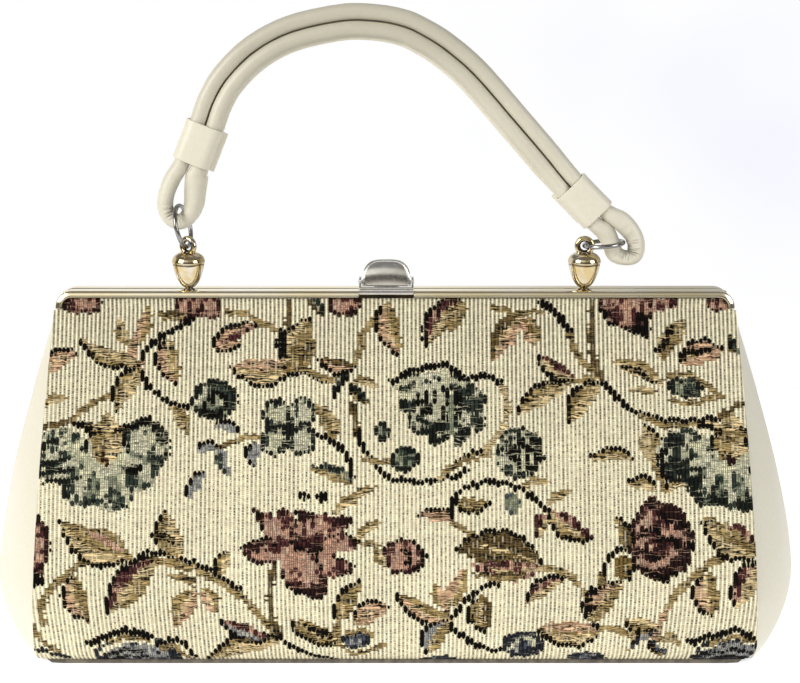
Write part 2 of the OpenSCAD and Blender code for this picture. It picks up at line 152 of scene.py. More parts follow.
def leaf(bu, bv, tu, tv, wide, side, near, far, sway=0.08):
    """A leaf from its base to its tip; a capital side has a dark edge there."""
    du, dv = tu - bu, tv - bv
    length = math.hypot(du, dv)
    along = ((sheet_u - bu) * du + (sheet_v - bv) * dv) / length ** 2
    off = (du * (sheet_v - bv) - dv * (sheet_u - bu)) / length
    out = {"U": (0, -1), "D": (0, 1), "L": (-1, 0), "R": (1, 0)}[side.upper()]
    if du * out[1] - dv * out[0] < 0:
        off = -off
    along_in = np.clip(along, 0, 1)
    off = off - sway * length * 4 * along_in * (1 - along_in)
    half = wide / 2 * np.sin(np.pi * along_in ** 0.85) ** 0.8
    inside = (along > 0) & (along < 1) & (abs(off) < half)
    for part, yarn in ((inside & (off > 0), near), (inside & (off <= 0), far)):
        if yarn in "kput":
            lay(part, {"t": "h", "u": "r", "p": "s"}.get(yarn, "o"))
            dash(part, 0.72, yarn)
        else:
            lay(part, yarn)
    if wide > 15:
        lay(inside & (abs(off) < 1.6) & (along < 0.75), "w" if near != "w" else "o")
        dash(inside & (off < 0) & (off > -1.8) & (along < 0.5), 0.4, "n")
    if side.isupper():
        dash((along > 0) & (along < 1.02) & (off > half - 1.6) & (off < half + 3.0), 0.96)


def on_curve(a, b, c, d, t):
    """The point at a share t from b to c, on a smooth curve through all four."""
    square = (2 * a - 5 * b + 4 * c - d) * t ** 2
    cube = (3 * b - a - 3 * c + d) * t ** 3
    return (2 * b + (c - a) * t + square + cube) / 2


def vine(yarn, reach, *points):
    """A stem through the points, reach to each side of its line."""
    p = np.array(points, float)
    p = np.vstack([2 * p[0] - p[1], p, 2 * p[-1] - p[-2]])
    near = np.full(sheet_u.shape, 1e9)
    for i in range(len(points) - 1):
        for t in np.linspace(0, 1, 9):
            u, v = on_curve(*p[i : i + 4], t)
            near = np.minimum(near, np.hypot(sheet_u - u, sheet_v - v))
    if yarn in "kput":
        dash(near < reach + 0.2, 0.94, yarn)
    else:
        lay(near < reach + 0.8, yarn)


def petal(bu, bv, tu, tv, wide, fill, dark, core, blunt=0.9):
    """A petal from the flower's heart to its tip, shaded with dashes towards the rim."""
    du, dv = tu - bu, tv - bv
    length = math.hypot(du, dv)
    along = ((sheet_u - bu) * du + (sheet_v - bv) * dv) / length ** 2
    off = abs(du * (sheet_v - bv) - dv * (sheet_u - bu)) / length
    half = wide / 2 * np.sin(np.pi * np.clip(along, 0, 1) ** blunt) ** 0.7 + 0.01
    inside = (along > 0) & (along < 1) & (off < half)
    lay(inside, fill)
    edge = np.clip((np.maximum(off / half, (along - 0.25) / 0.75) - 0.35) / 0.6, 0, 1)
    dash(inside, core + (1 - core) * edge ** 1.5, dark)


def bud(u, v, ru, rv, fill, dark, core, rim=1.0):
    """A round bud, shaded with dashes towards its rim."""
    r = np.hypot((sheet_u - u) / ru, (sheet_v - v) / rv)
    lay(r < 1, fill)
    dash(r < 1.02, core + (rim - core) * np.clip((r - 0.3) / 0.6, 0, 1) ** 1.4, dark)


def fan(u, v, ru, rv, first, last, lobes, fill, dark, depth):
    """A half opened flower: petals spread below its calyx, streaked and dark at their ends."""
    du, dv = sheet_u - u, sheet_v - v
    angle = np.degrees(np.arctan2(dv, du))
    r = np.hypot(du / ru, dv / rv) / (0.87 + 0.13 * abs(np.cos(np.radians(angle * lobes))))
    inside = (r < 1) & (angle > first) & (angle < last)
    streak = np.sin(np.radians(angle * 14) + 2.0 * r) + 0.5 * np.sin(np.radians(angle * 31))
    lay(inside, fill)
    lay(inside & (r > 0.5) & (streak > 0.2), "s")
    shade = 0.02 + 0.95 * np.clip((r - 0.45) / 0.5, 0, 1) ** 1.3 + 0.28 * streak * (r > 0.35)
    dash(inside, depth * np.clip(shade, 0, 1), dark)


def patch(points, fill, dark, light, reach, core):
    """A petal drawn by its corners, pale round its light point and shaded away from it."""
    inside = np.zeros(sheet_u.shape, bool)
    for (au, av), (bu, bv) in zip(points, points[1:] + points[:1]):
        crosses = (av > sheet_v) != (bv > sheet_v)
        inside ^= crosses & (sheet_u < au + (sheet_v - av) * (bu - au) / (bv - av + 1e-9))
    lay(inside, fill)
    far = np.clip(np.hypot(sheet_u - light[0], sheet_v - light[1]) / reach, 0, 1)
    dash(inside, core + (1 - core) * far ** 1.4, dark)


for vine_yarn, vine_reach, vine_points in (
    ("k", 2.6, ((139, 363), (146, 348), (163, 333), (184, 321), (197, 313))),
    ("k", 2.6, ((139, 370), (146, 386), (160, 397), (172, 404), (193, 407))),
    ("n", 2.2, ((34, 428), (56, 425), (73, 421))), ("o", 2.4, ((73, 418), (93, 402), (107, 395))),
    ("o", 2.4, ((226, 311), (245, 314), (262, 322), (273, 328))),
    ("b", 2.6, ((129, 344), (131, 362), (139, 364))),
    ("o", 2.4, ((290, 368), (310, 372), (327, 379), (345, 378))),
    ("k", 1.6, ((292, 373), (310, 377), (327, 383))),
    ("o", 2.8, ((355, 361), (360, 347), (364, 333), (377, 316), (387, 303))),
    ("n", 2.4, ((288, 299), (287, 322))),
    ("k", 2.8, ((310, 434), (325, 437), (336, 444), (346, 455), (351, 467), (352, 482))),
    ("o", 2.2, ((262, 435), (234, 442), (220, 449))), ("n", 2.6, ((352, 404), (355, 420), (358, 434))),
    ("k", 2.7, ((358, 434), (363, 449), (373, 463), (386, 477), (402, 481), (420, 482), (448, 478),
     (466, 470))),
    ("o", 2.2, ((366, 461), (376, 463), (391, 463))), ("k", 2.4, ((456, 462), (474, 453), (490, 450))),
    ("o", 2.4, ((438, 481), (450, 468), (462, 462), (490, 455))),
    ("k", 3.0, ((466, 380), (480, 377), (496, 380), (503, 388))),
    ("w", 2.4, ((503, 388), (508, 407), (504, 425), (496, 438), (487, 450))),
    ("o", 2.4, ((493, 305), (518, 312), (543, 310))), ("k", 3.0, ((542, 300), (559, 314), (572, 334))),
    ("o", 3.0, ((572, 336), (576, 350), (586, 364), (596, 373))),
    ("o", 2.2, ((566, 385), (585, 380), (602, 374))),
    ("n", 2.6, ((594, 300), (593, 341), (597, 363), (603, 376))),
    ("k", 2.7, ((603, 382), (622, 403), (643, 415), (670, 421), (689, 422), (720, 418))),
    ("o", 2.4, ((640, 418), (672, 427), (700, 424))), ("n", 2.4, ((720, 416), (744, 404), (760, 398))),
    ("o", 2.6, ((652, 462), (659, 476), (664, 490))),
    ("o", 3.0, ((41, 624), (42, 605), (55, 586), (73, 571), (90, 561), (130, 556))),
    ("o", 3.0, ((153, 559), (174, 562), (195, 568), (216, 579), (241, 595), (255, 608), (266, 623),
     (279, 638))),
    ("k", 2.2, ((128, 566), (141, 557), (153, 553), (174, 556), (195, 562), (216, 573), (240, 588))),
    ("n", 2.6, ((275, 565), (271, 592), (272, 616), (278, 633))),
    ("k", 2.2, ((279, 639), (296, 650), (310, 658), (332, 663))), ("o", 2.2, ((337, 645), (337, 620))),
    ("o", 2.2, ((360, 543), (378, 546))),
    ("k", 2.5, ((452, 513), (454, 498), (466, 488), (486, 483), (504, 484), (524, 491), (537, 502),
     (548, 511))),
    ("o", 2.2, ((450, 518), (461, 527), (473, 537))),
    ("o", 2.6, ((541, 567), (562, 572), (583, 591), (588, 603))),
    ("k", 2.4, ((500, 581), (479, 589), (465, 600), (453, 615), (447, 620))),
    ("b", 2.2, ((445, 604), (447, 618))),
    ("k", 2.4, ((450, 624), (462, 636), (476, 645), (493, 652), (506, 652))),
    ("k", 2.6, ((588, 613), (600, 627), (612, 630))),
    ("o", 2.6, ((604, 628), (621, 632), (640, 637), (657, 636))), ("o", 2.8, ((600, 590), (601, 573))),
    ("k", 2.6, ((601, 573), (607, 558), (619, 550), (630, 549))),
    ("o", 3.0, ((726, 556), (706, 564), (689, 579), (675, 593), (667, 608))),
    ("b", 2.4, ((667, 608), (662, 622), (660, 640))), ("t", 2.4, ((30, 650), (46, 656), (60, 662))),
    ("o", 2.4, ((30, 625), (36, 640), (50, 652))),
):
    vine(vine_yarn, vine_reach, *vine_points)

for leaf_shape in (
    (128, 346, 114, 316, 13, "l", "o", "w"), (131, 346, 145, 306, 15, "r", "o", "b"),
    (139, 363, 77, 339, 17, "D", "o", "w"), (166, 338, 176, 383, 22, "L", "b", "o"),
    (140, 367, 116, 412, 20, "L", "o", "w"), (170, 406, 188, 434, 14, "r", "o", "w"),
    (42, 372, 74, 352, 18, "U", "b", "b"), (38, 406, 66, 398, 11, "u", "o", "w"),
    (212, 348, 256, 325, 15, "U", "b", "u"), (212, 347, 240, 340, 8, "D", "b", "b"),
    (290, 368, 229, 366, 27, "D", "w", "b"), (287, 370, 309, 319, 30, "L", "w", "o"),
    (296, 372, 313, 338, 12, "r", "o", "n"), (355, 366, 318, 357, 14, "D", "b", "n"),
    (349, 374, 332, 399, 10, "l", "p", "k"), (350, 383, 369, 405, 11, "d", "k", "p"),
    (350, 380, 379, 390, 10, "u", "o", "w"), (308, 298, 322, 314, 13, "u", "p", "n"),
    (386, 302, 400, 353, 24, "L", "b", "o"), (463, 296, 426, 346, 24, "L", "u", "w"),
    (468, 300, 438, 334, 12, "r", "o", "o"), (336, 440, 316, 404, 18, "r", "w", "o"),
    (257, 442, 254, 467, 12, "L", "h", "h"), (196, 450, 221, 450, 9, "U", "h", "h"),
    (219, 447, 230, 476, 12, "l", "p", "h"), (214, 425, 240, 434, 9, "U", "h", "h"),
    (205, 472, 190, 500, 11, "L", "h", "h"), (354, 484, 309, 468, 15, "u", "p", "o"),
    (524, 314, 493, 361, 25, "u", "n", "b"), (526, 316, 535, 348, 19, "r", "o", "b"),
    (576, 380, 540, 353, 15, "D", "w", "u"), (567, 386, 518, 415, 19, "U", "o", "w"),
    (601, 382, 570, 426, 20, "L", "o", "w"), (633, 460, 588, 459, 12, "U", "o", "w"),
    (652, 464, 644, 428, 23, "R", "o", "w"), (664, 360, 691, 316, 20, "l", "w", "o"),
    (682, 362, 727, 350, 23, "U", "b", "b"), (664, 384, 612, 362, 16, "u", "o", "w"),
    (662, 390, 628, 388, 7, "d", "o", "w"), (742, 356, 732, 334, 9, "l", "k", "p"),
    (130, 557, 62, 522, 31, "D", "w", "o"), (130, 554, 84, 528, 14, "u", "o", "r"),
    (74, 576, 87, 621, 25, "L", "b", "o"), (158, 561, 109, 614, 26, "U", "u", "w"),
    (152, 572, 118, 608, 12, "d", "o", "o"), (198, 588, 174, 627, 23, "l", "o", "b"),
    (203, 588, 216, 613, 18, "r", "o", "b"), (200, 584, 168, 574, 9, "u", "o", "o"),
    (181, 557, 166, 511, 26, "L", "o", "w"), (222, 576, 229, 551, 13, "L", "o", "w"),
    (278, 641, 204, 665, 20, "U", "o", "w"), (333, 514, 379, 488, 11, "u", "o", "w"),
    (355, 541, 382, 522, 10, "u", "o", "w"), (268, 638, 220, 619, 15, "D", "h", "u"),
    (338, 640, 290, 619, 19, "D", "o", "o"), (338, 624, 362, 581, 17, "L", "o", "o"),
    (354, 624, 389, 607, 21, "U", "b", "b"), (452, 619, 397, 592, 18, "D", "b", "o"),
    (447, 621, 428, 656, 22, "L", "h", "o"), (455, 520, 419, 516, 12, "U", "b", "b"),
    (456, 500, 489, 505, 13, "D", "o", "o"), (520, 487, 552, 481, 9, "u", "o", "w"),
    (545, 504, 574, 493, 10, "u", "o", "w"), (548, 513, 536, 538, 15, "l", "u", "w"),
    (549, 512, 592, 538, 21, "D", "o", "u"), (541, 566, 455, 548, 36, "U", "n", "n"),
    (542, 567, 470, 564, 19, "d", "u", "u"), (526, 574, 470, 572, 9, "d", "o", "n"),
    (562, 579, 525, 603, 14, "U", "u", "w"), (445, 606, 463, 566, 18, "r", "o", "b"),
    (443, 606, 436, 580, 13, "l", "o", "b"), (481, 595, 488, 634, 22, "L", "o", "n"),
    (601, 632, 538, 627, 25, "D", "w", "b"), (589, 622, 620, 583, 27, "L", "b", "o"),
    (657, 490, 626, 484, 12, "U", "o", "w"),
    (664, 492, 690, 482, 11, "U", "o", "w"), (757, 553, 702, 518, 31, "D", "w", "o"),
    (756, 548, 720, 526, 14, "u", "u", "o"), (705, 572, 713, 616, 25, "L", "b", "o"),
    (758, 562, 736, 609, 24, "L", "u", "w"), (661, 628, 625, 618, 14, "D", "o", "w"),
    (658, 630, 632, 653, 10, "u", "k", "t"), (653, 642, 673, 658, 11, "d", "k", "t"),
    (661, 637, 685, 646, 12, "u", "o", "w"),
):
    leaf(*leaf_shape)
vine("k", 3.0, (660, 350), (668, 341), (673, 330))
vine("k", 2.6, (626, 366), (640, 373), (655, 384))
vine("k", 2.6, (684, 358), (696, 352), (714, 351))
vine("k", 3.0, (306, 627), (318, 632), (330, 637))
vine("k", 3.0, (156, 536), (166, 536), (174, 540))

# Small flowers and buds: rose and green ones between the vines, each shaded with dashes
# from a pale heart to a dark rim.
bud(78, 301, 21, 12, "r", "u", 0.3)
for u, core in ((178, 0.2), (196, 0.35), (214, 0.3)):
    petal(u * 0.4 + 117, 292, u, 318, 22, "r", "u", core)
leaf(184, 312, 152, 311, 11, "d", "o", "n")
bud(344, 302, 17, 13, "r", "u", 0.45)
bud(214, 400, 23, 20, "s", "p", 0.35)
vine("k", 2.4, (203, 404), (207, 413), (217, 414), (225, 404), (219, 393), (211, 395), (212, 405))
vine("m", 2.0, (192, 408), (199, 399), (206, 388))
lay(np.hypot(sheet_u - 221, sheet_v - 403) < 3.2, "m")
for u, v in ((276, 414), (302, 413), (274, 441), (302, 441)):
    bud(u, v, 14, 15, "m", "p", 0.0, 1.0)
vine("p", 3, (287, 412), (289, 428), (287, 444))
vine("p", 3, (276, 428), (290, 428), (308, 426))
bud(382, 433, 7, 10, "s", "p", 0.6)
bud(405, 459, 14, 13, "s", "p", 0.25)
bud(281, 344, 6, 14, "p", "k", 0.9)

# Bell flower: dark green petals round a deep cup, with pale veins over them,
# and a cone bud on the same vine.
for tu, tv, wide, core in (
    (396, 384, 26, 0.5), (399, 408, 28, 0.45), (412, 434, 30, 0.55), (436, 446, 36, 0.75),
    (462, 446, 34, 0.75), (484, 430, 30, 0.4), (488, 402, 26, 0.3), (470, 384, 30, 0.4),
    (448, 372, 30, 0.4),
):
    petal(444, 392, tu, tv, wide, "m", "p", core, 1.2)
bud(440, 402, 22, 22, "m", "k", 0.55, 0.7)
vine("m", 2.4, (396, 385), (416, 379), (440, 374), (460, 382))
vine("m", 2.0, (404, 397), (420, 389), (444, 383))
vine("s", 2.2, (452, 396), (450, 412), (453, 430))
vine("k", 2.8, (392, 381), (412, 371), (441, 365), (458, 371), (464, 379))
lay(np.hypot((sheet_u - 452) / 3.5, (sheet_v - 441) / 8) < 1, "c")
for tu, tv, wide in ((528, 430, 22), (544, 440, 24), (546, 458, 26), (536, 474, 24), (522, 476, 20)):
    petal(494, 455, tu, tv, wide, "m", "p", 0.35, 1.3)
bud(526, 454, 17, 16, "m", "k", 0.55, 0.75)

# Roses at the mouth: they are cut by the frame, and a dark bud hangs below them
# between two thin stems.
rose = [(600, 296), (668, 296), (652, 318), (650, 337), (630, 328), (612, 322), (603, 308)]
patch(rose, "r", "u", (634, 302), 30, 0.15)
patch([(640, 312), (652, 314), (651, 337), (636, 328)], "u", "k", (640, 312), 20, 0.55)
patch([(652, 296), (682, 296), (680, 308), (664, 310)], "r", "u", (662, 302), 20, 0.2)
vine("k", 2.0, (604, 308), (612, 322), (632, 328), (649, 337), (651, 318))
bud(722, 302, 13, 7, "r", "u", 0.3)
vine("o", 2.2, (668, 378), (690, 374), (708, 386), (724, 398))
vine("o", 2.2, (672, 402), (696, 403), (716, 397))
bud(687, 388, 18, 10, "s", "p", 0.7)

# Fan flowers: half opened, with a leafy calyx and streaked petals. The two stand one repeat of the cloth
# apart, and the left one is paler.
for u, depth in ((104, 0.78), (729, 1.0)):
    bud(u - 44, 455, 28, 26, "m", "p", 0.0, 0.8 * depth)
    bud(u + 40, 447, 26, 28, "m", "p", 0.05, 1.0)
    vine("k", 3.4, (u + 22, 428), (u + 36, 424), (u + 46, 421))
    vine("k", 3.0, (u + 47, 424), (u + 58, 445), (u + 60, 456))
    vine("k", 3.0, (u - 66, 476), (u - 68, 456), (u - 62, 448))
    bud(u - 53, 445, 8, 6, "s", "p", 0.9)
    fan(u, 440, 64, 74, 4, 176, 4.6, "m", "p", depth)
    for v, tip in ((464, -70), (473, -64), (482, -58)):
        vine("p", 1.9, (u + tip, v), (u + tip + 16, v - 1), (u + tip + 34, v - 4))
    bud(u + 30, 470, 10, 5, "s", "k", 0.95)
    leaf(u + 2, 466, u + 3, 412, 32, "l", "o", "w", 0)
    leaf(u + 2, 430, u - 27, 425, 12, "d", "o", "w", 0)
    leaf(u + 2, 434, u + 22, 430, 12, "d", "o", "w", 0)
    vine("k", 2.4, (u - 29, 424), (u - 20, 428), (u - 8, 431))
    vine("k", 2.2, (u - 14, 434), (u - 17, 444), (u - 20, 452))
    vine("k", 2.2, (u + 13, 431), (u + 22, 431), (u + 18, 442), (u + 26, 450))
    vine("u", 2.2, (u - 2, 452), (u + 3, 464))

# Star flower: rose petals drawn one by one with dark edges. Its bud, the rosebud at the right and the blue
# flowers along the base follow.
for shape, light, reach, core in (
    (((266, 540), (284, 530), (326, 536), (342, 544), (334, 558), (320, 570), (284, 568), (277, 556)),
     (304, 552), 60, 0.0),
    (((287, 555), (318, 555), (328, 575), (327, 590), (323, 599), (309, 596), (295, 590), (284, 581),
     (281, 563)), (301, 559), 32, 0.0),
    (((318, 555), (337, 554), (349, 560), (355, 566), (351, 571), (340, 577), (324, 572)),
     (329, 562), 21, 0.15),
    (((239, 550), (257, 541), (271, 538), (288, 552), (262, 552)), (287, 553), 30, 0.35),
    (((239, 550), (262, 551), (288, 551), (282, 562), (262, 562), (249, 557)), (272, 556), 30, 0.0),
    (((252, 508), (272, 513), (279, 520), (285, 536), (268, 538), (262, 524)), (279, 530), 24, 0.0),
    (((277, 514), (284, 506), (293, 513), (297, 529), (286, 538), (276, 522)), (287, 531), 23, 0.1),
    (((297, 510), (316, 513), (334, 516), (352, 516), (350, 525), (340, 532), (326, 538), (310, 534),
     (296, 528)), (324, 532), 21, 0.2),
    (((318, 543), (330, 537), (340, 532), (354, 537), (360, 544), (352, 549), (336, 552), (318, 554)),
     (329, 546), 29, 0.0),
    (((291, 530), (300, 522), (322, 525), (326, 541), (318, 551), (305, 552), (295, 547)),
     (306, 527), 26, 0.25),
):
    patch(list(shape), "r", "u", light, reach, core)
patch([(318, 568), (327, 576), (326, 592), (322, 598), (313, 592)], "r", "u", (312, 570), 20, 0.45)
for petal_edge in (
    ((291, 530), (293, 541), (299, 549), (308, 552), (318, 550), (323, 543)),
    ((240, 550), (256, 541), (270, 538), (278, 545)), ((253, 509), (260, 517), (264, 528), (266, 536)),
    ((330, 536), (341, 532), (352, 536), (359, 543)), ((296, 511), (316, 514), (350, 517)),
    ((282, 564), (285, 580), (296, 590), (310, 596), (322, 597)), ((327, 578), (328, 588), (322, 597)),
    ((333, 556), (347, 560), (354, 567), (341, 576)), ((318, 553), (319, 562), (324, 570)),
):
    vine("k", 1.3, *petal_edge)
for heart_edge in (
    ((292, 526), (294, 538), (301, 547), (311, 550), (321, 546)),
    ((297, 524), (299, 536), (306, 543), (316, 543)),
):
    vine("u", 1.5, *heart_edge)
vine("u", 1.4, (244, 555), (260, 561), (277, 561))
lay(np.hypot((sheet_u - 345) / 7, (sheet_v - 556) / 3) < 1, "c")
bud(404, 556, 21, 17, "r", "u", 0.06, 0.9)
vine("k", 2.6, (404, 551), (410, 556), (407, 562))
vine("k", 2.4, (414, 543), (423, 552), (423, 560), (416, 569))
leaf(376, 548, 386, 568, 11, "l", "o", "w")
for u, v in ((304, 497), (323, 497)):
    dash(np.hypot((sheet_u - u) / 6, (sheet_v - v) / 5) < 1, 0.9)
bud(35, 546, 17, 30, "r", "u", 0.3)
dash(np.hypot((sheet_u - 34) / 12, (sheet_v - 579) / 8) < 1, 0.95)
bud(659, 541, 32, 39, "r", "u", 0.72)
petal(648, 530, 652, 496, 22, "r", "u", 0.7)
for dark_fold in (
    ((648, 508), (654, 502)), ((662, 516), (670, 522)), ((652, 528), (658, 533), (656, 540)),
    ((664, 536), (674, 542), (674, 552)), ((642, 552), (656, 558), (668, 554)), ((640, 540), (646, 533)),
    ((648, 572), (660, 578), (672, 574)), ((684, 540), (690, 549)), ((678, 524), (686, 530)),
    ((633, 552), (638, 562), (646, 570)),
):
    vine("k", 3.0, *dark_fold)
for pale_fold in (
    ((634, 530), (649, 515)), ((630, 544), (645, 541)), ((635, 560), (653, 566), (673, 554)),
    ((661, 532), (672, 534), (683, 538)),
):
    vine("r", 2.4, *pale_fold)
leaf(626, 550, 616, 520, 15, "R", "n", "o")
bud(622, 567, 10, 11, "o", "n", 0.3, 0.7)
vine("k", 2.6, (631, 552), (632, 564), (628, 578))
bud(512, 503, 8, 11, "s", "t", 0.1, 0.4)
dash(np.hypot((sheet_u - 588) / 7, (sheet_v - 605) / 9) < 1, 0.95)
bud(355, 641, 15, 8, "h", "t", 0.6)
vine("o", 2.0, (342, 649), (356, 656), (374, 651), (382, 646))
vine("o", 2.0, (346, 633), (362, 631), (372, 637))
for u, ru in ((132, 44), (742, 42)):
    bud(u, 662, ru, 26, "h", "t", 0.62 if u < 400 else 0.92, 0.98)
    vine("c", 3.0 if u < 400 else 1.2, (u - 38, 655), (u - 18, 643), (u, 640), (u + 18, 645))
    vine("o", 2.0, (u - 26, 643), (u - 6, 638), (u + 14, 641))
    vine("k", 3.2, (u - 48, 644), (u - 28, 637), (u - 5, 631), (u + 15, 638))
    for v in (650, 658):
        vine("h", 1.8, (u - 30, v + 4), (u - 8, v - 2), (u + 18, v), (u + 30, v + 5))
        vine("k", 1.8, (u - 34, v + 7), (u - 10, v + 2), (u + 8, v + 2))
vine("k", 2.6, (155, 646), (168, 640), (181, 643), (189, 658))
vine("o", 2.2, (158, 650), (170, 646), (186, 664))
bud(525, 646, 21, 14, "h", "t", 0.8)
vine("m", 1.4, (512, 650), (518, 642), (527, 638), (535, 642), (534, 649))
bud(591, 662, 20, 8, "h", "t", 0.7)
bud(441, 665, 18, 6, "h", "t", 0.7)

# Loom: a dark warp dash floats over two to five rows of one rib and then dives, so shading breaks up in short
# upright strokes. The dye differs a little from crossing to crossing and from row to row.
loom = np.zeros(sheet_u.shape)
for rib in range(ribs):
    row = 0
    while row < weft_rows:
        run = int(chance.integers(2, 6))
        loom[row : row + run, rib] = chance.uniform(0.1, 0.93)
        loom[row, rib] += 0.5 * (chance.random() < 0.3)
        row += run
dashed = (dash_share > loom) | (dash_share > 0.9)
deep = dashed & ((dash_share > 0.8) | (dash_share - loom > 0.4))
crossing_dye = chance.uniform(0.9, 1.08, sheet_u.shape)
row_dye = chance.uniform(0.95, 1.04, weft_rows)
weft_colour *= crossing_dye[..., None] * row_dye[:, None, None]
dash_colour[dashed] *= chance.uniform(0.8, 1.35, dashed.sum())[:, None]
dash_colour[deep] = linear(yarns["k"]) * 0.75 + dash_colour[deep] * 0.25
for step in (1, -1):
    beside = ~dashed & np.roll(dashed, step, axis=0)
    dash_colour[beside] = np.roll(dash_colour, step, axis=0)[beside]
held_down = np.pad(dashed.astype(float), ((1, 1), (0, 0)))
dash_low = (held_down[:-2] + held_down[1:-1]) / 2
dash_high = (held_down[1:-1] + held_down[2:]) / 2


# Tapestry cloth: dull cotton ribs with loose coloured wefts across them, a little worn. The yarn colours come
# with the mesh, and the shader draws ribs, strands, slits and pinholes by the weave's own thread count.
class Bench:
    """A node tree to work on: each call adds a node and hands back what it gives."""

    def __init__(self, tree):
        self.nodes = tree.nodes
        self.links = tree.links

    def set(self, socket, value):
        """A socket takes a number, a colour or a link, or stays as it is with None."""
        if isinstance(value, bpy.types.NodeSocket):
            self.links.new(value, socket)
        elif value is not None:
            socket.default_value = value

    def add(self, kind, *inputs, **settings):
        node = self.nodes.new(kind)
        for key, value in settings.items():
            setattr(node, key, value)
        for socket, value in zip(node.inputs, inputs):
            self.set(socket, value)
        return node

    def sum(self, operation, *inputs):
        return self.add("ShaderNodeMath", *inputs, operation=operation).outputs[0]

    def times(self, a, b):
        return self.sum("MULTIPLY", a, b)

    def scaled(self, value, scale, shift=0.0):
        return self.sum("MULTIPLY_ADD", value, scale, shift)

    def rest(self, value):
        return self.sum("SUBTRACT", 1.0, value)

    def whole(self, value, scale, shift=0.0):
        return self.sum("FLOOR", self.scaled(value, scale, shift))

    def from_middle(self, value):
        """How far a value lies from the middle between two whole numbers."""
        return self.sum("ABSOLUTE", self.sum("SUBTRACT", self.sum("FRACT", value), 0.5))

    def step(self, value, low, high, to_low=0.0, to_high=1.0):
        node = self.add("ShaderNodeMapRange", value, low, high, to_low, to_high)
        node.interpolation_type = "SMOOTHSTEP"
        return node.outputs[0]

    def between(self, share, low, high):
        return self.add("ShaderNodeMapRange", share, 0.0, 1.0, low, high).outputs[0]

    def blend(self, kind, share, a, b):
        node = self.add("ShaderNodeMix", data_type="RGBA", blend_type=kind)
        for i, value in ((0, share), (6, a), (7, b)):
            self.set(node.inputs[i], value)
        return node.outputs[2]

    def place(self):
        return self.add("ShaderNodeTexCoord").outputs["Object"]

    def mottle(self, place, scale, detail):
        return self.add("ShaderNodeTexNoise", place, None, scale, detail).outputs[0]

    def luck(self, u, v):
        """A random value for each pair of whole numbers."""
        spot = self.add("ShaderNodeCombineXYZ", u, v).outputs[0]
        return self.add("ShaderNodeTexWhiteNoise", spot, noise_dimensions="2D").outputs["Value"]

    def bump(self, height, strength, distance):
        node = self.add("ShaderNodeBump", strength, distance)
        self.set(node.inputs["Height"], height)
        return node.outputs[0]


def new_finish(name, rough, **sockets):
    """A material, its bench and the sockets of its shader."""
    material = bpy.data.materials.new(name)
    material.use_nodes = True
    shader = material.node_tree.nodes["Principled BSDF"].inputs
    shader["Roughness"].default_value = rough
    for key, value in sockets.items():
        shader[key.replace("_", " ")].default_value = value
    return material, Bench(material.node_tree), shader


tapestry, bench, shader = new_finish(
    "tapestry", 0.9, Sheen_Weight=0.02, Sheen_Roughness=0.5, Specular_IOR_Level=0.06
)
thread = bench.add("ShaderNodeUVMap", uv_map="thread").outputs[0]
thread = bench.add("ShaderNodeSeparateXYZ", thread).outputs
across, along = thread[0], thread[1]
yarn = bench.add("ShaderNodeVertexColor", layer_name="yarn").outputs
over = bench.add("ShaderNodeVertexColor", layer_name="dash").outputs
place = bench.place()
fuzz = bench.mottle(place, 1400.0, 3.0)
age = bench.mottle(place, 30.0, 3.0)
groove = bench.times(bench.from_middle(across), 2.0)
crest = bench.step(groove, 0.58, 0.22)
groove_number = bench.whole(across, 1.0, 0.5)

# The ground: bright ribs with tan wefts deep between them, and pinholes where the wefts part.
# Towards the mouth, where the wall leans back, painted shade darkens the bands and holes.
band_luck = bench.luck(groove_number, 3.0)
stripe = bench.sum("PINGPONG", bench.scaled(along, 1.07, bench.times(band_luck, 4.0)), 0.5)
band = bench.times(bench.step(stripe, 0.05, 0.4, 0.50, 0.76), bench.step(band_luck, 0.0, 1.0, 0.86, 1.1))
# Painted shade: high rises towards the mouth and darkens the bands and holes there.
high = bench.step(along, 85.0, 168.0)
band = bench.times(band, bench.step(fuzz, 0.25, 0.75, 0.86, 1.12))
band = bench.times(band, bench.scaled(high, -0.24, 1.0))
hole_line = bench.scaled(along, 0.78, bench.times(band_luck, 7.0))
hole_luck = bench.luck(groove_number, bench.sum("FLOOR", hole_line))
hole_luck = bench.scaled(high, 0.3, hole_luck)
hole = bench.times(bench.step(groove, 0.55, 0.85), bench.step(bench.from_middle(hole_line), 0.43, 0.12))
hole = bench.times(hole, bench.step(hole_luck, 0.28, 0.9, 0.0, 0.92))
band = bench.times(band, bench.rest(hole))
ground_tone = bench.blend("MULTIPLY", 1.0, yarn[0], bench.between(crest, band, 1.0))
ground_tone = bench.blend("MULTIPLY", bench.rest(crest), ground_tone, (1.0, 0.955, 0.83, 1))

# Coloured wefts: loose strands lying across the ribs, with dark slits between them. Flowers are worked in
# fine canvas stitches and leaves in longer strands, and bare ribs shine through here and there.
wander = bench.add("ShaderNodeCombineXYZ", bench.times(across, 0.23), bench.times(along, 0.5)).outputs[0]
wander = bench.add("ShaderNodeTexNoise", wander, None, 1.0, 2.0, noise_dimensions="2D").outputs[0]
lie = bench.scaled(along, 0.92, bench.times(wander, 3.2))
strand_number = bench.sum("FLOOR", lie)
strand_luck = bench.luck(strand_number, bench.whole(across, 0.28, bench.times(strand_number, 0.37)))
slit_luck = bench.luck(strand_number, bench.whole(across, 0.45, bench.times(strand_number, 0.61)))
in_strand = bench.from_middle(lie)
slit = bench.times(bench.step(in_strand, 0.1, 0.33), bench.step(slit_luck, 0.05, 0.55, 0.4, 0.98))
strand_shade = bench.times(bench.step(strand_luck, 0.0, 1.0, 0.68, 1.28), bench.rest(slit))
is_weft = bench.step(yarn["Alpha"], 0.4, 0.6)
is_canvas = bench.sum("SUBTRACT", is_weft, bench.step(yarn["Alpha"], 0.8, 0.9))
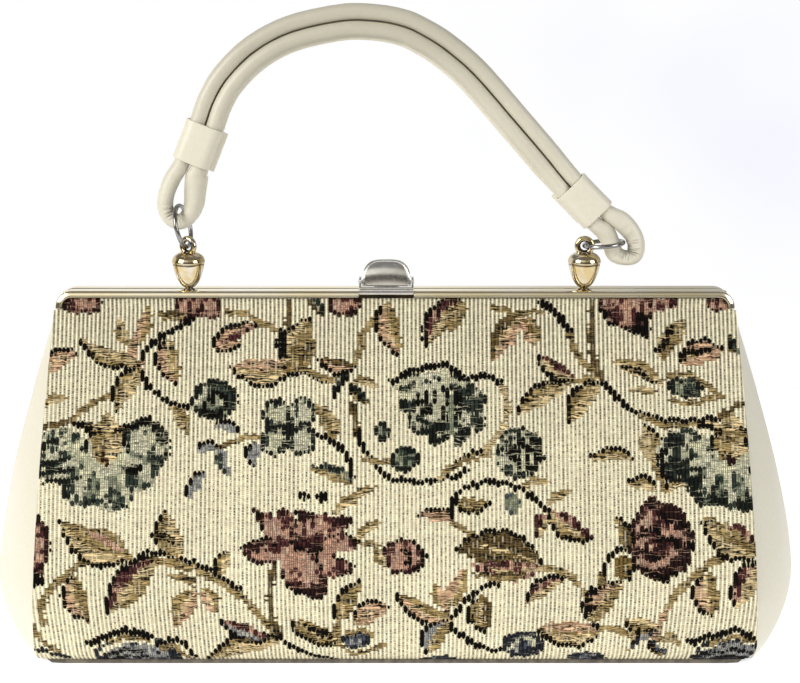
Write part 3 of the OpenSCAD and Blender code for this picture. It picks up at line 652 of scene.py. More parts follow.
stitch_luck = bench.luck(bench.whole(across, 2.0), strand_number)
canvas_line = bench.step(bench.sum("PINGPONG", across, 0.25), 0.03, 0.17)
canvas_shade = bench.times(canvas_line, bench.step(in_strand, 0.46, 0.2))
canvas_shade = bench.times(canvas_shade, bench.step(stitch_luck, 0.1, 0.9, 0.45, 1.0))
canvas_shade = bench.scaled(canvas_shade, 0.95, 0.3)
strand_shade = bench.between(is_canvas, strand_shade, canvas_shade)
strand_tone = bench.blend("MULTIPLY", 1.0, yarn[0], strand_shade)
rib_luck = bench.luck(bench.whole(across, 1.0), bench.whole(along, 0.4))
rib_light = bench.times(crest, bench.step(rib_luck, 0.62, 1.0, 0.05, 0.45))
strand_tone = bench.blend("MIX", rib_light, strand_tone, (0.88, 0.80, 0.58, 1))
cloth_tone = bench.blend("MIX", is_weft, ground_tone, strand_tone)

# Dark warp dashes over both: they taper to their ends, and a pale weft crosses some of them.
# Round them the coloured wefts are darkened with painted shade.
edge = bench.scaled(bench.times(groove, groove), 0.58, 0.32)
edge = bench.scaled(bench.sum("SUBTRACT", fuzz, 0.5), 0.5, edge)
dash_mask = bench.step(bench.sum("SUBTRACT", over["Alpha"], edge), -0.06, 0.06)
crossing = bench.times(bench.step(in_strand, 0.2, 0.08), bench.step(strand_luck, 0.55, 0.9, 0.0, 0.72))
dash_mask = bench.times(dash_mask, bench.rest(bench.times(crossing, is_weft)))
# Painted shade on the coloured wefts in and around the dashes.
painted_shade_near_dashes = bench.times(bench.times(over["Alpha"], is_weft), 0.22)
cloth_tone = bench.blend("MULTIPLY", painted_shade_near_dashes, cloth_tone, (0.16, 0.14, 0.10, 1))
# Each dash is painted lighter along its middle and darker at its sides: a painted highlight and shade of the
# round yarn.
dash_tone = bench.blend("MULTIPLY", 1.0, over[0], bench.step(groove, 0.95, 0.25, 0.35, 1.25))
cloth_tone = bench.blend("MIX", dash_mask, cloth_tone, dash_tone)
# Fuzz and age mottle the cloth as wear, and painted shade darkens it a little more towards the mouth.
worn = bench.times(bench.step(fuzz, 0.2, 0.8, 0.92, 1.05), bench.step(age, 0.25, 0.75, 0.93, 1.02))
worn = bench.times(worn, bench.scaled(high, -0.06, 1.0))
bench.set(shader["Base Color"], bench.blend("MULTIPLY", 1.0, cloth_tone, worn))
height = bench.scaled(slit, -0.3, bench.times(crest, 0.6))
height = bench.scaled(fuzz, 0.35, height)
bench.set(shader["Normal"], bench.bump(height, 0.5, 0.0004))


# Tapestry front and back: one woven panel each, ribs raised in the mesh, cut along the flared sides,
# rolled under at the floor and tucked into the frame. The back is the same cloth the other way round.
def mesh_piece(name, points, faces, material):
    mesh = bpy.data.meshes.new(name)
    spots = [tuple(p) for p in np.asarray(points, float) * MM]
    mesh.from_pydata(spots, [], [tuple(int(i) for i in f) for f in faces])
    mesh.materials.append(material)
    mesh.shade_smooth()
    piece = bpy.data.objects.new(name, mesh)
    scene.collection.objects.link(piece)
    return piece


def sheet_faces(at, way=1):
    """Four-sided faces over a grid of point numbers; way is -1 to turn them over."""
    quads = np.stack([at[:-1, :-1], at[:-1, 1:], at[1:, 1:], at[1:, :-1]], axis=-1).reshape(-1, 4)
    return quads if way > 0 else quads[:, [0, 3, 2, 1]]


rib_lift = 0.10
groove_drop = 0.22
weft_lift = 0.03
knots_u = np.arange(2 * ribs + 1) / 2
knots_x = (knots_u - ribs / 2) * rib_pitch
knots_s = np.linspace(0, line_s[-1], weft_rows + 1)
knots_y = np.interp(knots_s, line_s, line_y)
knots_z = np.interp(knots_s, line_s, line_z)
out_y, out_z = np.gradient(knots_z), -np.gradient(knots_y)
out_long = np.hypot(out_y, out_z)
out_y, out_z = out_y / out_long, out_z / out_long
lean = 1 - 0.03 * np.clip((45 - knots_s) / 45, 0, 1) ** 1.6
flat_x = (knots_u - ribs / 2)[None, :] * rib_pitch * lean[:, None]
limit = panel_half(knots_z)[:, None]
cloth_x = np.clip(flat_x, -limit, limit)
rib_relief = np.where(np.arange(2 * ribs + 1) % 2 == 1, rib_lift, -groove_drop)
weft_relief = weft_lift * ((np.arange(weft_rows + 1) % 2) * 2 - 1)
slack = np.array([
    [0.5 * noise.noise(Vector((x * 0.022, z * 0.03, 4.2))) - 0.15 for x in knots_x] for z in knots_z
])
held_by_frame = np.clip((138 - knots_z) / 20, 0, 1)[:, None]
held_by_floor = np.clip(knots_z / 12, 0, 1)[:, None]
lift = rib_relief[None, :] + weft_relief[:, None] + slack * held_by_frame * held_by_floor
keep_face = np.minimum(abs(flat_x[:, :-1]), abs(flat_x[:, 1:])) < limit
keep_face = keep_face[:-1] & keep_face[1:]
grid = np.arange((weft_rows + 1) * (2 * ribs + 1)).reshape(weft_rows + 1, 2 * ribs + 1)


def tapestry_panel(name, way):
    """way is -1 for the front and 1 for the back."""
    out = way * (knots_y[:, None] + lift * out_y[:, None])
    up = knots_z[:, None] + lift * out_z[:, None]
    points = np.stack([-way * cloth_x, out, up], axis=-1).reshape(-1, 3)
    used, faces = np.unique(sheet_faces(grid)[keep_face.ravel()], return_inverse=True)
    piece = mesh_piece(name, points[used], faces.reshape(-1, 4), tapestry)
    row, column = np.nonzero(keep_face)
    rib = column // 2
    weft = np.concatenate([weft_colour[row, rib], weft_kind[row, rib][:, None]], axis=1)
    layer = piece.data.color_attributes.new("yarn", "FLOAT_COLOR", "CORNER")
    layer.data.foreach_set("color", np.repeat(weft, 4, axis=0).astype(np.float32).ravel())
    lower, upper = dash_low[row, rib], dash_high[row, rib]
    share = np.stack([lower, lower, upper, upper], axis=1)
    over = np.concatenate([np.repeat(dash_colour[row, rib][:, None], 4, axis=1), share[..., None]], axis=2)
    layer = piece.data.color_attributes.new("dash", "FLOAT_COLOR", "CORNER")
    layer.data.foreach_set("color", over.astype(np.float32).ravel())
    thread = [
        np.stack([knots_u[column + a], (row + b).astype(float)], axis=-1)
        for a, b in ((0, 0), (1, 0), (1, 1), (0, 1))
    ]
    layer = piece.data.uv_layers.new(name="thread")
    layer.data.foreach_set("uv", np.stack(thread, axis=1).astype(np.float32).ravel())
    return piece


front_tapestry = tapestry_panel("front_tapestry", -1)
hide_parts("front_cover")
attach(front_tapestry, "bag")

# Behind the hinge a fold line is set out, rising to the back just above the stiff back board.
# Nothing below uses it: the back cloth, the ends and the lining stay where they are built.
bend_along = np.array([0, 0.15, 0.1048])
bend_start = np.array([0, 18.9, 104.0])
bend_end = bend_start + bend_along / (bend_along ** 2).sum()
back_tapestry = tapestry_panel("back_tapestry", 1)
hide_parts("back_cover")
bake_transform(back_tapestry)

# Vinyl ends: two ivory sheets that swell outwards between front and back, smooth with a fine grain.
# Each is turned in along its edge and sewn to the tapestry and the base, and it ripples softly.
vinyl, bench, shader = new_finish(
    "vinyl", 0.40, Coat_Weight=0.15, Coat_Roughness=0.3, Specular_IOR_Level=0.45
)
place = bench.place()
age = bench.mottle(place, 22.0, 4.0)
grain = bench.add("ShaderNodeTexVoronoi", place, None, 1500.0).outputs[0]
pore = bench.mottle(place, 700.0, 3.0)
ivory = bench.blend("MIX", bench.step(age, 0.3, 0.7), (0.80, 0.765, 0.635, 1), (0.775, 0.735, 0.60, 1))
ivory = bench.blend("MULTIPLY", 1.0, ivory, bench.step(pore, 0.25, 0.75, 0.975, 1.015))
# A point attribute darkens the vinyl: a little soil all over, and painted shade in the creases, inside the
# loops and along the top of the handle.
smudge_and_shade_share = bench.add("ShaderNodeAttribute", attribute_name="grime_and_shade").outputs["Fac"]
ivory = bench.blend("MIX", bench.times(smudge_and_shade_share, 0.85), ivory, (0.07, 0.055, 0.03, 1))
bench.set(shader["Base Color"], ivory)
bench.set(shader["Roughness"], bench.step(age, 0.25, 0.75, 0.36, 0.5))
bench.set(shader["Normal"], bench.bump(bench.sum("ADD", grain, pore), 0.10, 0.0002))
end_out = 22.5
end_full_z = 30
vinyl_thick = 1
seam_in = 1.35


def depth_half(z):
    """Half the depth of the bag at a height, with the roll at the floor."""
    low = np.sqrt(np.clip(foot_roll ** 2 - (foot_roll - z) ** 2, 0, foot_roll ** 2))
    return np.where(z < foot_roll, foot_depth - foot_roll + low, wall_half(z))


def end_swell(z):
    """How far an end stands out at a height, in its middle."""
    low = np.sqrt(np.clip(1 - ((end_full_z - z) / 33) ** 2, 0, 1))
    high = 1 - np.clip((z - end_full_z) / 107.8, 0, 1) ** 1.35
    return end_out * np.where(z < end_full_z, low, high)


end_z = 0.6 + 137.2 * (np.arange(97) / 96) ** 1.3
end_share = -np.cos(np.pi * np.arange(49) / 48)
for end_name, way in (("left_gusset", -1), ("right_gusset", 1)):
    z, share = np.meshgrid(end_z, end_share, indexing="ij")
    ripple = np.array([
        [noise.noise(Vector((b * 2.2 + 7 * way, a * 0.02, 1.7))) * 0.9 for b in end_share] for a in end_z
    ])
    ripple = ripple * (1 - share ** 2) * np.clip((138 - z) / 40, 0.1, 1)
    skins = []
    for depth in (0, vinyl_thick):
        x = side_half(z) - 0.4 + end_swell(z) * (1 - abs(share) ** 2.2) + ripple - depth
        skins.append(np.stack([way * x, (depth_half(z) - seam_in) * share, z], axis=-1))
    points = np.concatenate([s.reshape(-1, 3) for s in skins])
    at = np.arange(len(points)).reshape(2, end_z.size, end_share.size)
    quads = [sheet_faces(at[0]), sheet_faces(at[1])]
    facing_in = 1 if way > 0 else 0
    quads[facing_in] = quads[facing_in][:, ::-1]
    for edge, turn in ((at[:, 0, :], 1), (at[:, -1, :], -1), (at[:, :, 0], -1), (at[:, :, -1], 1)):
        rim = np.stack([edge[0, :-1], edge[1, :-1], edge[1, 1:], edge[0, 1:]], axis=-1)
        quads.append(rim if turn * way > 0 else rim[:, ::-1])
    piece = mesh_piece(end_name + "_skin", points, np.concatenate(quads), vinyl)
    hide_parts(end_name)
    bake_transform(piece)

# Handle: one rolled tube of ivory vinyl closed on itself, two strands side by side and a loop at each end.
# It creases where the rings pull. Painted shade darkens the creases, the top and the insides of the loops,
# mixed there with soil.
hang_y = -3.75
posts_apart_half = 80.2
handle_rise = 89
handle_foot = (-3.5, 163.9)
strand_off = 3.35
strand_round = 3.2
strand_deep = 3.3
tube_parts = 20
tube_sides = 40
grip = np.array([
    (-0.976, 0.373), (-0.895, 0.552), (-0.853, 0.650), (-0.783, 0.752), (-0.651, 0.866), (-0.471, 0.952),
    (-0.225, 1.002), (-0.059, 1.003), (0.074, 0.982), (0.167, 0.947), (0.284, 0.883), (0.435, 0.768),
    (0.637, 0.565), (0.787, 0.411), (0.916, 0.274), (1.065, 0.139),
]) * (posts_apart_half, handle_rise) + handle_foot
left_loop = np.array([
    (-79.9, 192.2, 4.05), (-80.7, 186.5, 3.90), (-81.25, 181.5, 3.60), (-82.3, 177.6, 3.45),
    (-84.5, 174.9, 3.35), (-87.6, 173.9, 3.15), (-90.9, 176.2, 3.20), (-92.4, 180.5, 3.25),
    (-91.6, 185.5, 3.25), (-89.2, 191.2, 3.35),
])
right_loop = np.array([
    (91.3, 174.0, 3.95), (96.05, 168.6, 3.68), (97.5, 163.8, 3.52), (96.6, 160.2, 3.42),
    (93.0, 159.3, 3.15), (89.05, 160.9, 3.45), (87.4, 164.9, 3.62), (84.6, 170.0, 3.85),
])


def smooth_loop(knots, parts):
    """A closed smooth curve through the knots, cut in so many parts between each two."""
    curve = []
    for i in range(len(knots)):
        near = [knots[(i + k) % len(knots)] for k in (-1, 0, 1, 2)]
        curve += [on_curve(*near, t) for t in np.arange(parts) / parts]
    return np.array(curve)


def closed(at):
    """The point numbers with the first column again at the end, so that the faces close."""
    return np.hstack([at, at[:, :1]])


# Stores a darkening share for each point; on the handle it mixes soil with painted shade, elsewhere it is
# painted shade.
def set_smudge_and_shade(piece, shares):
    layer = piece.data.attributes.new("grime_and_shade", "FLOAT", "POINT")
    layer.data.foreach_set("value", np.array(shares, np.float32))


ahead = np.vstack([grip[1:], grip[-1:]]) - np.vstack([grip[:1], grip[:-1]])
ahead /= np.linalg.norm(ahead, axis=1)[:, None]
aside = np.stack([-ahead[:, 1], ahead[:, 0]], axis=1)
strand = np.full((len(grip), 1), strand_round)
outer_strand = np.hstack([grip + strand_off * aside, strand])
inner_strand = np.hstack([grip - strand_off * aside, strand])
tube = smooth_loop(np.vstack([outer_strand, right_loop, inner_strand[::-1], left_loop]), tube_parts)
forward = np.roll(tube, -1, axis=0)[:, :2] - np.roll(tube, 1, axis=0)[:, :2]
forward /= np.linalg.norm(forward, axis=1)[:, None]
sideways = np.stack([-forward[:, 1], forward[:, 0]], axis=1)
creased = ((376, 34), (912, 24))
looped = ((316, 484), (796, 1004))
points, grime_and_shade = [], []
for i, ((x, z, r), w) in enumerate(zip(tube, sideways)):
    bend = max(math.exp(-((i - middle) / reach) ** 2) for middle, reach in creased)
    in_loop = sum(np.clip(min((i - first) / 24, (last - i) / 24), 0, 1) for first, last in looped)
    # Painted shade: the handle darkens towards its top.
    painted_top_shade = 0.13 * np.clip((z - 186) / 14, 0, 1) + 0.17 * np.clip((z - 220) / 24, 0, 1)
    for a in 2 * np.pi * np.arange(tube_sides) / tube_sides:
        inner = -math.cos(a)
        line = 0.5 + 0.5 * noise.noise(Vector((i * 0.42 + 0.8 * math.sin(a), 0.5 * a, 2.0)))
        crease = bend * np.clip((line - 0.5) / 0.16, 0, 1)
        crease *= np.clip((inner + 0.42 + 0.5 * (line - 0.6)) / 0.6, 0, 1)
        pinch = 0.06 * noise.noise(Vector((x * 0.25, math.sin(a), z * 0.25))) - 0.34 * crease
        # Inside the loops: soil together with painted shade.
        loop_smudge_and_shade = in_loop * 0.55 * max(0, inner - 0.1) ** 1.2
        # A little soil all over, and painted shade along the crease lines.
        grime_and_shade.append(min(1, 0.07 + painted_top_shade + 0.85 * crease + loop_smudge_and_shade))
        out = (r + pinch) * math.cos(a)
        y = hang_y + (strand_deep + pinch) * math.sin(a)
        points.append((x + out * w[0], y, z + out * w[1]))
at = np.arange(len(points)).reshape(len(tube), tube_sides)
handle = mesh_piece("handle_tube", points, sheet_faces(closed(np.vstack([at, at[:1]])), -1), vinyl)
set_smudge_and_shade(handle, grime_and_shade)
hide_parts("handle")
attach(handle, "grip")

# Handle seam: the cut edge of the rolled vinyl, turned and glued. It stands out as a thin lip
# along the inner strand and down into the left loop, and it fades out at both ends.
seam_first = 500
seam_last = 869
points = []
for i in range(seam_first, seam_last + 1):
    (x, z, r), w = tube[i], sideways[i]
    fade = min(1, (i - seam_first) / 16, (seam_last - i) / 28)
    low, high, top = r - 0.6, r + 1.0 * fade - 0.1, r + 1.15 * fade - 0.1
    for out, back in ((low, 0.15), (high, 0.25), (top, 0.55), (high, 0.95), (low, 1.15)):
        points.append((x + out * w[0], hang_y + back, z + out * w[1]))
seam = mesh_piece("handle_seam", points, sheet_faces(np.arange(len(points)).reshape(-1, 5), -1), vinyl)
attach(seam, "grip")

# Handle web: a strip that joins the two strands, deep in the crease between them.
# Its dark colour is painted shade for the gap between the strands.
shade_web_vinyl, bench, shader = new_finish("shade_web_vinyl", 0.7)
# Painted shade, mottled a little.
shade_mottle = bench.mottle(bench.place(), 220.0, 3.0)
bench.set(shader["Base Color"], bench.blend("MIX", shade_mottle, (0.035, 0.028, 0.018, 1), (0.10, 0.085, 0.055, 1)))
strands_meet = 780
points = []
for i in range(8, 298):
    x, z = (tube[i, :2] + tube[strands_meet - i, :2]) / 2
    for u, v in ((-1.9, -0.1), (-0.9, -1.1), (0.9, -1.1), (1.9, -0.1)):
        points.append((x + u * sideways[i, 0], hang_y + v, z + u * sideways[i, 1]))
shade_web = mesh_piece("handle_shade_web", points, sheet_faces(np.arange(len(points)).reshape(-1, 4)), shade_web_vinyl)
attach(shade_web, "grip")

# Keepers: a flat vinyl band round both strands at each end of the handle, with softly turned edges.
# Each is lapped and glued, and the lap shows as a thin flap along one side.
band_steps = (
    (-8.2, 3.5), (-8.2, 4.2), (-8.05, 4.38), (-7.7, 4.42), (-4, 4.36), (0, 4.34),
    (4, 4.36), (7.7, 4.42), (8.05, 4.38), (8.2, 4.2), (8.2, 3.5),
)
flap_line = ((-2.65, -0.1), (-0.35, 0.0), (0, 0.35), (0, 1.2), (-0.35, 1.5), (-2.65, 1.6))
for keeper_name, ends, flap_from, flap_to, flap_out, flap_back in (
    ("left_keeper", (grip[0], grip[1]), -8.1, 8.1, 9.65, 0.3),
    ("right_keeper", (grip[14], grip[15]), -10.2, 5.0, 8.0, 1.6),
):
    middle = (ends[0] + ends[1]) / 2
    lie = ends[1] - ends[0]
    lie = lie / np.linalg.norm(lie)
    beside = np.array([lie[1], -lie[0]])
    round_end = np.radians(np.linspace(-90, 90, 19))
    outline = [(s, s * math.cos(a), s * math.sin(a)) for s in (1, -1) for a in round_end]
    points = []
    for t, r in band_steps:
        for s, u, v in outline:
            x, z = middle + lie * t + beside * (s * strand_off + u * r)
            points.append((x, hang_y + v * r, z))
    at = np.arange(len(points)).reshape(len(band_steps), len(outline))
    flap_at = len(points) + np.arange(4 * len(flap_line)).reshape(4, len(flap_line))
    for t, grow in ((flap_from, -0.12), (flap_from + 0.3, 0.0), (flap_to - 0.3, 0.0), (flap_to, -0.12)):
        for u, v in flap_line:
            x, z = middle + lie * t + beside * (flap_out + u + grow)
            points.append((x, hang_y + v + flap_back, z))
    faces = [*sheet_faces(closed(at)), *sheet_faces(flap_at, -1), flap_at[0], flap_at[-1][::-1]]
    piece = mesh_piece(keeper_name + "_band", points, faces, vinyl)
    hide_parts(keeper_name)
    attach(piece, "grip")

# Lining: one strip of brown satin down the front, over the base and up the back, finely lined in its weave.
# It is held in both halves of the frame and hangs in small upright puckers.
satin, bench, shader = new_finish("satin_lining", 0.45, Sheen_Weight=0.3, Specular_IOR_Level=0.35)
place = bench.place()
fold = bench.step(bench.mottle(place, 40.0, 3.0), 0.3, 0.7)
yarn_line = bench.add("ShaderNodeTexWave", place, 900.0, 0.6, wave_type="BANDS", bands_direction="X")
bench.set(shader["Base Color"], bench.blend("MIX", fold, (0.50, 0.40, 0.26, 1), (0.42, 0.33, 0.20, 1)))
bench.set(shader["Normal"], bench.bump(yarn_line.outputs["Fac"], 0.2, 0.0002))
lining_in = 2.9
lining_foot = 3.9
wall_z = np.linspace(143.4, 6.0, 90)
wall = np.stack([depth_half(wall_z) - lining_in, wall_z], axis=1)
across_base = np.stack([np.linspace(-38.5, 38.5, 50), np.full(50, lining_foot)], axis=1)
lining_x = np.linspace(-130.4, 130.4, 131)
points = []
for y, z in np.concatenate([wall * (-1, 1), across_base, wall[::-1]]):
    hung = min(1, max(0, (z - 6) / 20)) * min(1, max(0, (140 - z) / 12))
    for x in lining_x:
        if z > 4:
            pucker = math.sin(x * 0.35 + 2 * noise.noise(Vector((x * 0.03, z * 0.02, 9))))
            points.append((x, y - math.copysign(0.35 + 0.35 * pucker * hung, y), z))
        else:
            points.append((x, y, z + 0.25 * noise.noise(Vector((x * 0.05, y * 0.05, 3)))))
faces = sheet_faces(np.arange(len(points)).reshape(-1, lining_x.size))
lining = mesh_piece("lining_sheet", points, faces, satin)
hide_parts("lining")
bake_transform(lining)

# Base: plain tapestry ground under the bag, ribbed from front to back and rounded out under the two ends.
# It is sewn to the panels and the ends along its whole edge.
base_z = 0.6
base_in = 1.3
base_rib = 0.25
base_row = 0.9
base_share = np.linspace(-1, 1, 41)
base_edge = side_half(np.array(base_z)) - 0.4 + end_swell(np.array(base_z)) * (1 - abs(base_share) ** 2.2)
base_edge = base_edge - base_in
base_half = float(depth_half(np.array(0.3))) - 1.5
columns = np.linspace(-1, 1, 349)
points = [
    (c * e, base_half * s, (0.0 if k % 2 else base_rib))
    for s, e in zip(base_share, base_edge) for k, c in enumerate(columns)
]
faces = sheet_faces(np.arange(len(points)).reshape(-1, columns.size), -1)
base = mesh_piece("base_tapestry", points, faces, tapestry)
layer = base.data.color_attributes.new("yarn", "FLOAT_COLOR", "CORNER")
layer.data.foreach_set("color", np.tile(np.append(ground, 0.0), len(faces) * 4).astype(np.float32))
layer = base.data.color_attributes.new("dash", "FLOAT_COLOR", "CORNER")
layer.data.foreach_set("color", np.zeros(len(faces) * 16, np.float32))
spots = np.array(points)[faces.reshape(-1)][:, :2] / (rib_pitch, base_row)
base.data.uv_layers.new(name="thread").data.foreach_set("uv", spots.astype(np.float32).ravel())
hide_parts("base_cover")
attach(base, "bag")

# Base shadow strip: a dark strip along the foot of the front and the back, where the base meets the panels,
# painted as the contact shadow there. It runs out under the corners.
shadow_strip_cloth, bench, shader = new_finish("shadow_strip_cloth", 0.85)
# Painted shadow: near black, mottled a little.
shadow_mottle = bench.step(bench.mottle(bench.place(), 350.0, 4.0), 0.3, 0.7)
bench.set(shader["Base Color"], bench.blend("MIX", shadow_mottle, (0.09, 0.078, 0.06, 1), (0.17, 0.15, 0.115, 1)))
shadow_strip_line = ((38.0, 0.0), (41.0, 0.0), (41.25, 0.45), (41.05, 1.0), (40.45, 1.45), (39.6, 1.5))
shadow_strip_root = 38
shadow_strip_half = 143
points, faces = [], []
for way in (-1, 1):
    at = len(points) + np.arange(61 * len(shadow_strip_line)).reshape(61, len(shadow_strip_line))
    for x in np.linspace(-1, 1, 61):
        fade = 1 - max(0, (abs(x) - 0.955) / 0.045) ** 2
        for y, z in shadow_strip_line:
            points.append((x * shadow_strip_half, way * (shadow_strip_root + (y - shadow_strip_root) * fade), z + 2.4 * (1 - fade)))
    quads = sheet_faces(closed(at), -1)
    faces.append(quads if way > 0 else quads[:, ::-1])
shadow_strip = mesh_piece("base_shadow_strip", points, np.concatenate(faces), shadow_strip_cloth)
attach(shadow_strip, "bag")

# Boards: stiff grey-brown card between the tapestry and the lining, in the front, the back and the base.
# They are cut flat and glued in, and they keep the solids' own shape.
card, bench, shader = new_finish("card", 0.9)
pulp = bench.mottle(bench.place(), 160.0, 5.0)
bench.set(shader["Base Color"], bench.blend("MIX", pulp, (0.30, 0.22, 0.13, 1), (0.42, 0.33, 0.21, 1)))
bench.set(shader["Normal"], bench.bump(pulp, 0.3, 0.0003))


def finish_nodes(material, *names):
    """These solids are shown as they are, with a finish of their own."""
    for name in names:
        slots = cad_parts[name].data.materials
        slots.clear()
        slots.append(material)


finish_nodes(card, "front_board", "back_board", "base_board")

# Metals: gold tone worn towards grey on the frame and posts, bright nickel on the lock, dark nickel rings.
# All are plated and polished, with the same fine scratches and softened edges, and painted shade along the
# frame's lower edges and in the posts' recesses.
metal_wear_and_shade = bpy.data.node_groups.new("metal_wear_and_shade", "ShaderNodeTree")
for way, socket, kind in (
    ("INPUT", "Bright", "Color"), ("INPUT", "Worn", "Color"), ("INPUT", "Wear Scale", "Float"),
    ("INPUT", "Roughness", "Float"), ("INPUT", "Grime And Shade", "Float"),
    ("OUTPUT", "Colour", "Color"), ("OUTPUT", "Roughness", "Float"), ("OUTPUT", "Normal", "Vector"),
):
    metal_wear_and_shade.interface.new_socket(socket, in_out=way, socket_type="NodeSocket" + kind)
bench = Bench(metal_wear_and_shade)
given = bench.add("NodeGroupInput").outputs
gives = bench.add("NodeGroupOutput").inputs
place = bench.place()
wear = bench.mottle(place, given["Wear Scale"], 5.0)
fine = bench.mottle(place, 900.0, 3.0)
plate = bench.blend("MIX", bench.step(wear, 0.42, 0.66), given["Bright"], given["Worn"])
# Painted shade: the attribute mixes the plate towards near black.
bench.set(gives["Colour"], bench.blend("MIX", given["Grime And Shade"], plate, (0.018, 0.014, 0.008, 1)))
bench.set(gives["Roughness"], bench.times(given["Roughness"], bench.step(fine, 0.2, 0.8, 0.7, 1.4)))
scratch = bench.add("ShaderNodeBump", 0.05, 0.0001)
bench.set(scratch.inputs["Height"], fine)
bench.set(scratch.inputs["Normal"], bench.add("ShaderNodeBevel", 0.00035, samples=4).outputs[0])
bench.set(gives["Normal"], scratch.outputs[0])


def metal(name, bright, worn, rough, wear_scale):
    material, bench, shader = new_finish(name, rough, Metallic=1.0)
    wear = bench.add("ShaderNodeGroup", node_tree=metal_wear_and_shade)
    grime_and_shade = bench.add("ShaderNodeAttribute", attribute_name="grime_and_shade").outputs["Fac"]
    for socket, value in (
        ("Bright", bright), ("Worn", worn), ("Wear Scale", wear_scale), ("Roughness", rough),
        ("Grime And Shade", grime_and_shade),
    ):
        bench.set(wear.inputs[socket], value)
    for socket, target in (("Colour", "Base Color"), ("Roughness", "Roughness"), ("Normal", "Normal")):
        bench.set(shader[target], wear.outputs[socket])
    return material


frame_gold = metal("frame_gold", (0.86, 0.76, 0.51, 1), (0.88, 0.81, 0.64, 1), 0.13, 26.0)
post_gold = metal("post_gold", (0.60, 0.47, 0.245, 1), (0.66, 0.61, 0.50, 1), 0.09, 210.0)
nickel = metal("nickel", (0.80, 0.78, 0.74, 1), (0.74, 0.70, 0.60, 1), 0.20, 90.0)
ring_steel = metal("ring_steel", (0.34, 0.34, 0.34, 1), (0.26, 0.25, 0.22, 1), 0.20, 120.0)
# A near black finish: painted shade for the recess under the lock bar.
recess_shade_black = metal("recess_shade_black", (0.03, 0.026, 0.02, 1), (0.05, 0.04, 0.025, 1), 0.35, 120.0)
finish_nodes(frame_gold, "left_hinge_rivet", "right_hinge_rivet")
finish_nodes(post_gold, "left_washer", "right_washer")
finish_nodes(nickel, "lock_pin", "lock_spring")


# Frame: two channels of gold-tone sheet, pressed and rolled over the cloth's edge, each with a flat leg at
# both ends, riveted inside the bag. The front one is cut away for the lock. Painted shade darkens the lower
# edges.
def swept(runs, material, name):
    """One piece from closed sections; each run is a row of stations, and each station a row of points."""
    points, faces = [], []
    for run in runs:
        at = len(points) + np.arange(len(run) * len(run[0])).reshape(len(run), len(run[0]))
        points += [tuple(p) for station in run for p in station]
        faces += [*sheet_faces(closed(at)), at[0][::-1], at[-1]]
    piece = mesh_piece(name, points, faces, material)
    piece.data.set_sharp_from_angle(angle=math.radians(38))
    return piece


roll_line = [
    (6.25, 3.0), (6.5, 3.02), (6.85, 2.86), (7.15, 2.58), (7.36, 2.24), (7.38, 1.98), (7.26, 1.6),
    (7.06, 1.02), (6.84, 0.5), (6.58, 0.18),
]
plate_line = [
    (6.1, 0.02), (5.6, 0.0), (1.5, 0.0), (1.0, 0.05), (0.62, 0.25), (0.44, 0.6), (0.4, 1.2), (0.4, 3.0),
    (1.3, 3.0), (1.3, 0.9), (6.2, 0.9),
]
corner_x = 131
corner_z = 139
corner_round = 7
foot_z = 138.8
notch_left = -14.8
notch_right = 7.8
leg_thick = 1.4
hinge_z = 112
corner = [(math.cos(a), math.sin(a)) for a in np.radians(np.linspace(180, 90, 15))]
turn_left = [(-corner_x + corner_round * c, corner_z + corner_round * s, c, s) for c, s in corner]
turn_right = [(-x, z, -nx, nz) for x, z, nx, nz in turn_left[::-1]]
left_run = [(-corner_x - corner_round, foot_z, -1, 0)] + turn_left
right_run = turn_right + [(corner_x + corner_round, foot_z, 1, 0)]
beside_left = [(notch_left, rail_z, 0, 1)]
beside_right = [(notch_right, rail_z, 0, 1)]
rolled = roll_line + plate_line
front_stretches = (
    (left_run + beside_left, rolled),
    (beside_left + beside_right, plate_line[1:]),
    (beside_right + right_run, rolled),
)
back_stretches = ((left_run + right_run, rolled),)
leg_round = [(4 * math.cos(a), hinge_z + 4 * math.sin(a)) for a in np.radians(np.linspace(155, 385, 20))]
leg_line = [(-0.4, 145.3), (-3.6, 145.3)] + leg_round + [(-0.4, hinge_z + 1.0)]
for frame_name, way, leg, body, stretches in (
    ("front_frame", -1, 133.6, "bag", front_stretches), ("back_frame", 1, 131.9, "back_half", back_stretches),
):
    runs = []
    for stations, section in stretches:
        section = section if way > 0 else section[::-1]
        runs.append([
            [(x - inset * nx, way * out, z - inset * nz) for out, inset in section]
            for x, z, nx, nz in stations
        ])
    for side in (-1, 1):
        ends = (leg, leg + leg_thick) if side * way < 0 else (leg + leg_thick, leg)
        runs.append([[(side * x, -way * y, z) for y, z in leg_line] for x in ends])
    piece = swept(runs, frame_gold, frame_name + "_channel")
    spots = np.array([v.co for v in piece.data.vertices]) / MM
    from_side, up = abs(spots[:, 0]) - corner_x, spots[:, 2] - corner_z
    straight = np.where(from_side > 0, from_side, up)
    inset = corner_round - np.where((from_side > 0) & (up > 0), np.hypot(from_side, up), straight)
    # Painted shade along the lower part of each rolled face.
    set_smudge_and_shade(piece, np.where(abs(spots[:, 1]) > 6.2, 0.85 * np.clip((inset - 2.0) / 0.5, 0, 1), 0))
    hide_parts(frame_name)
    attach(piece, body)

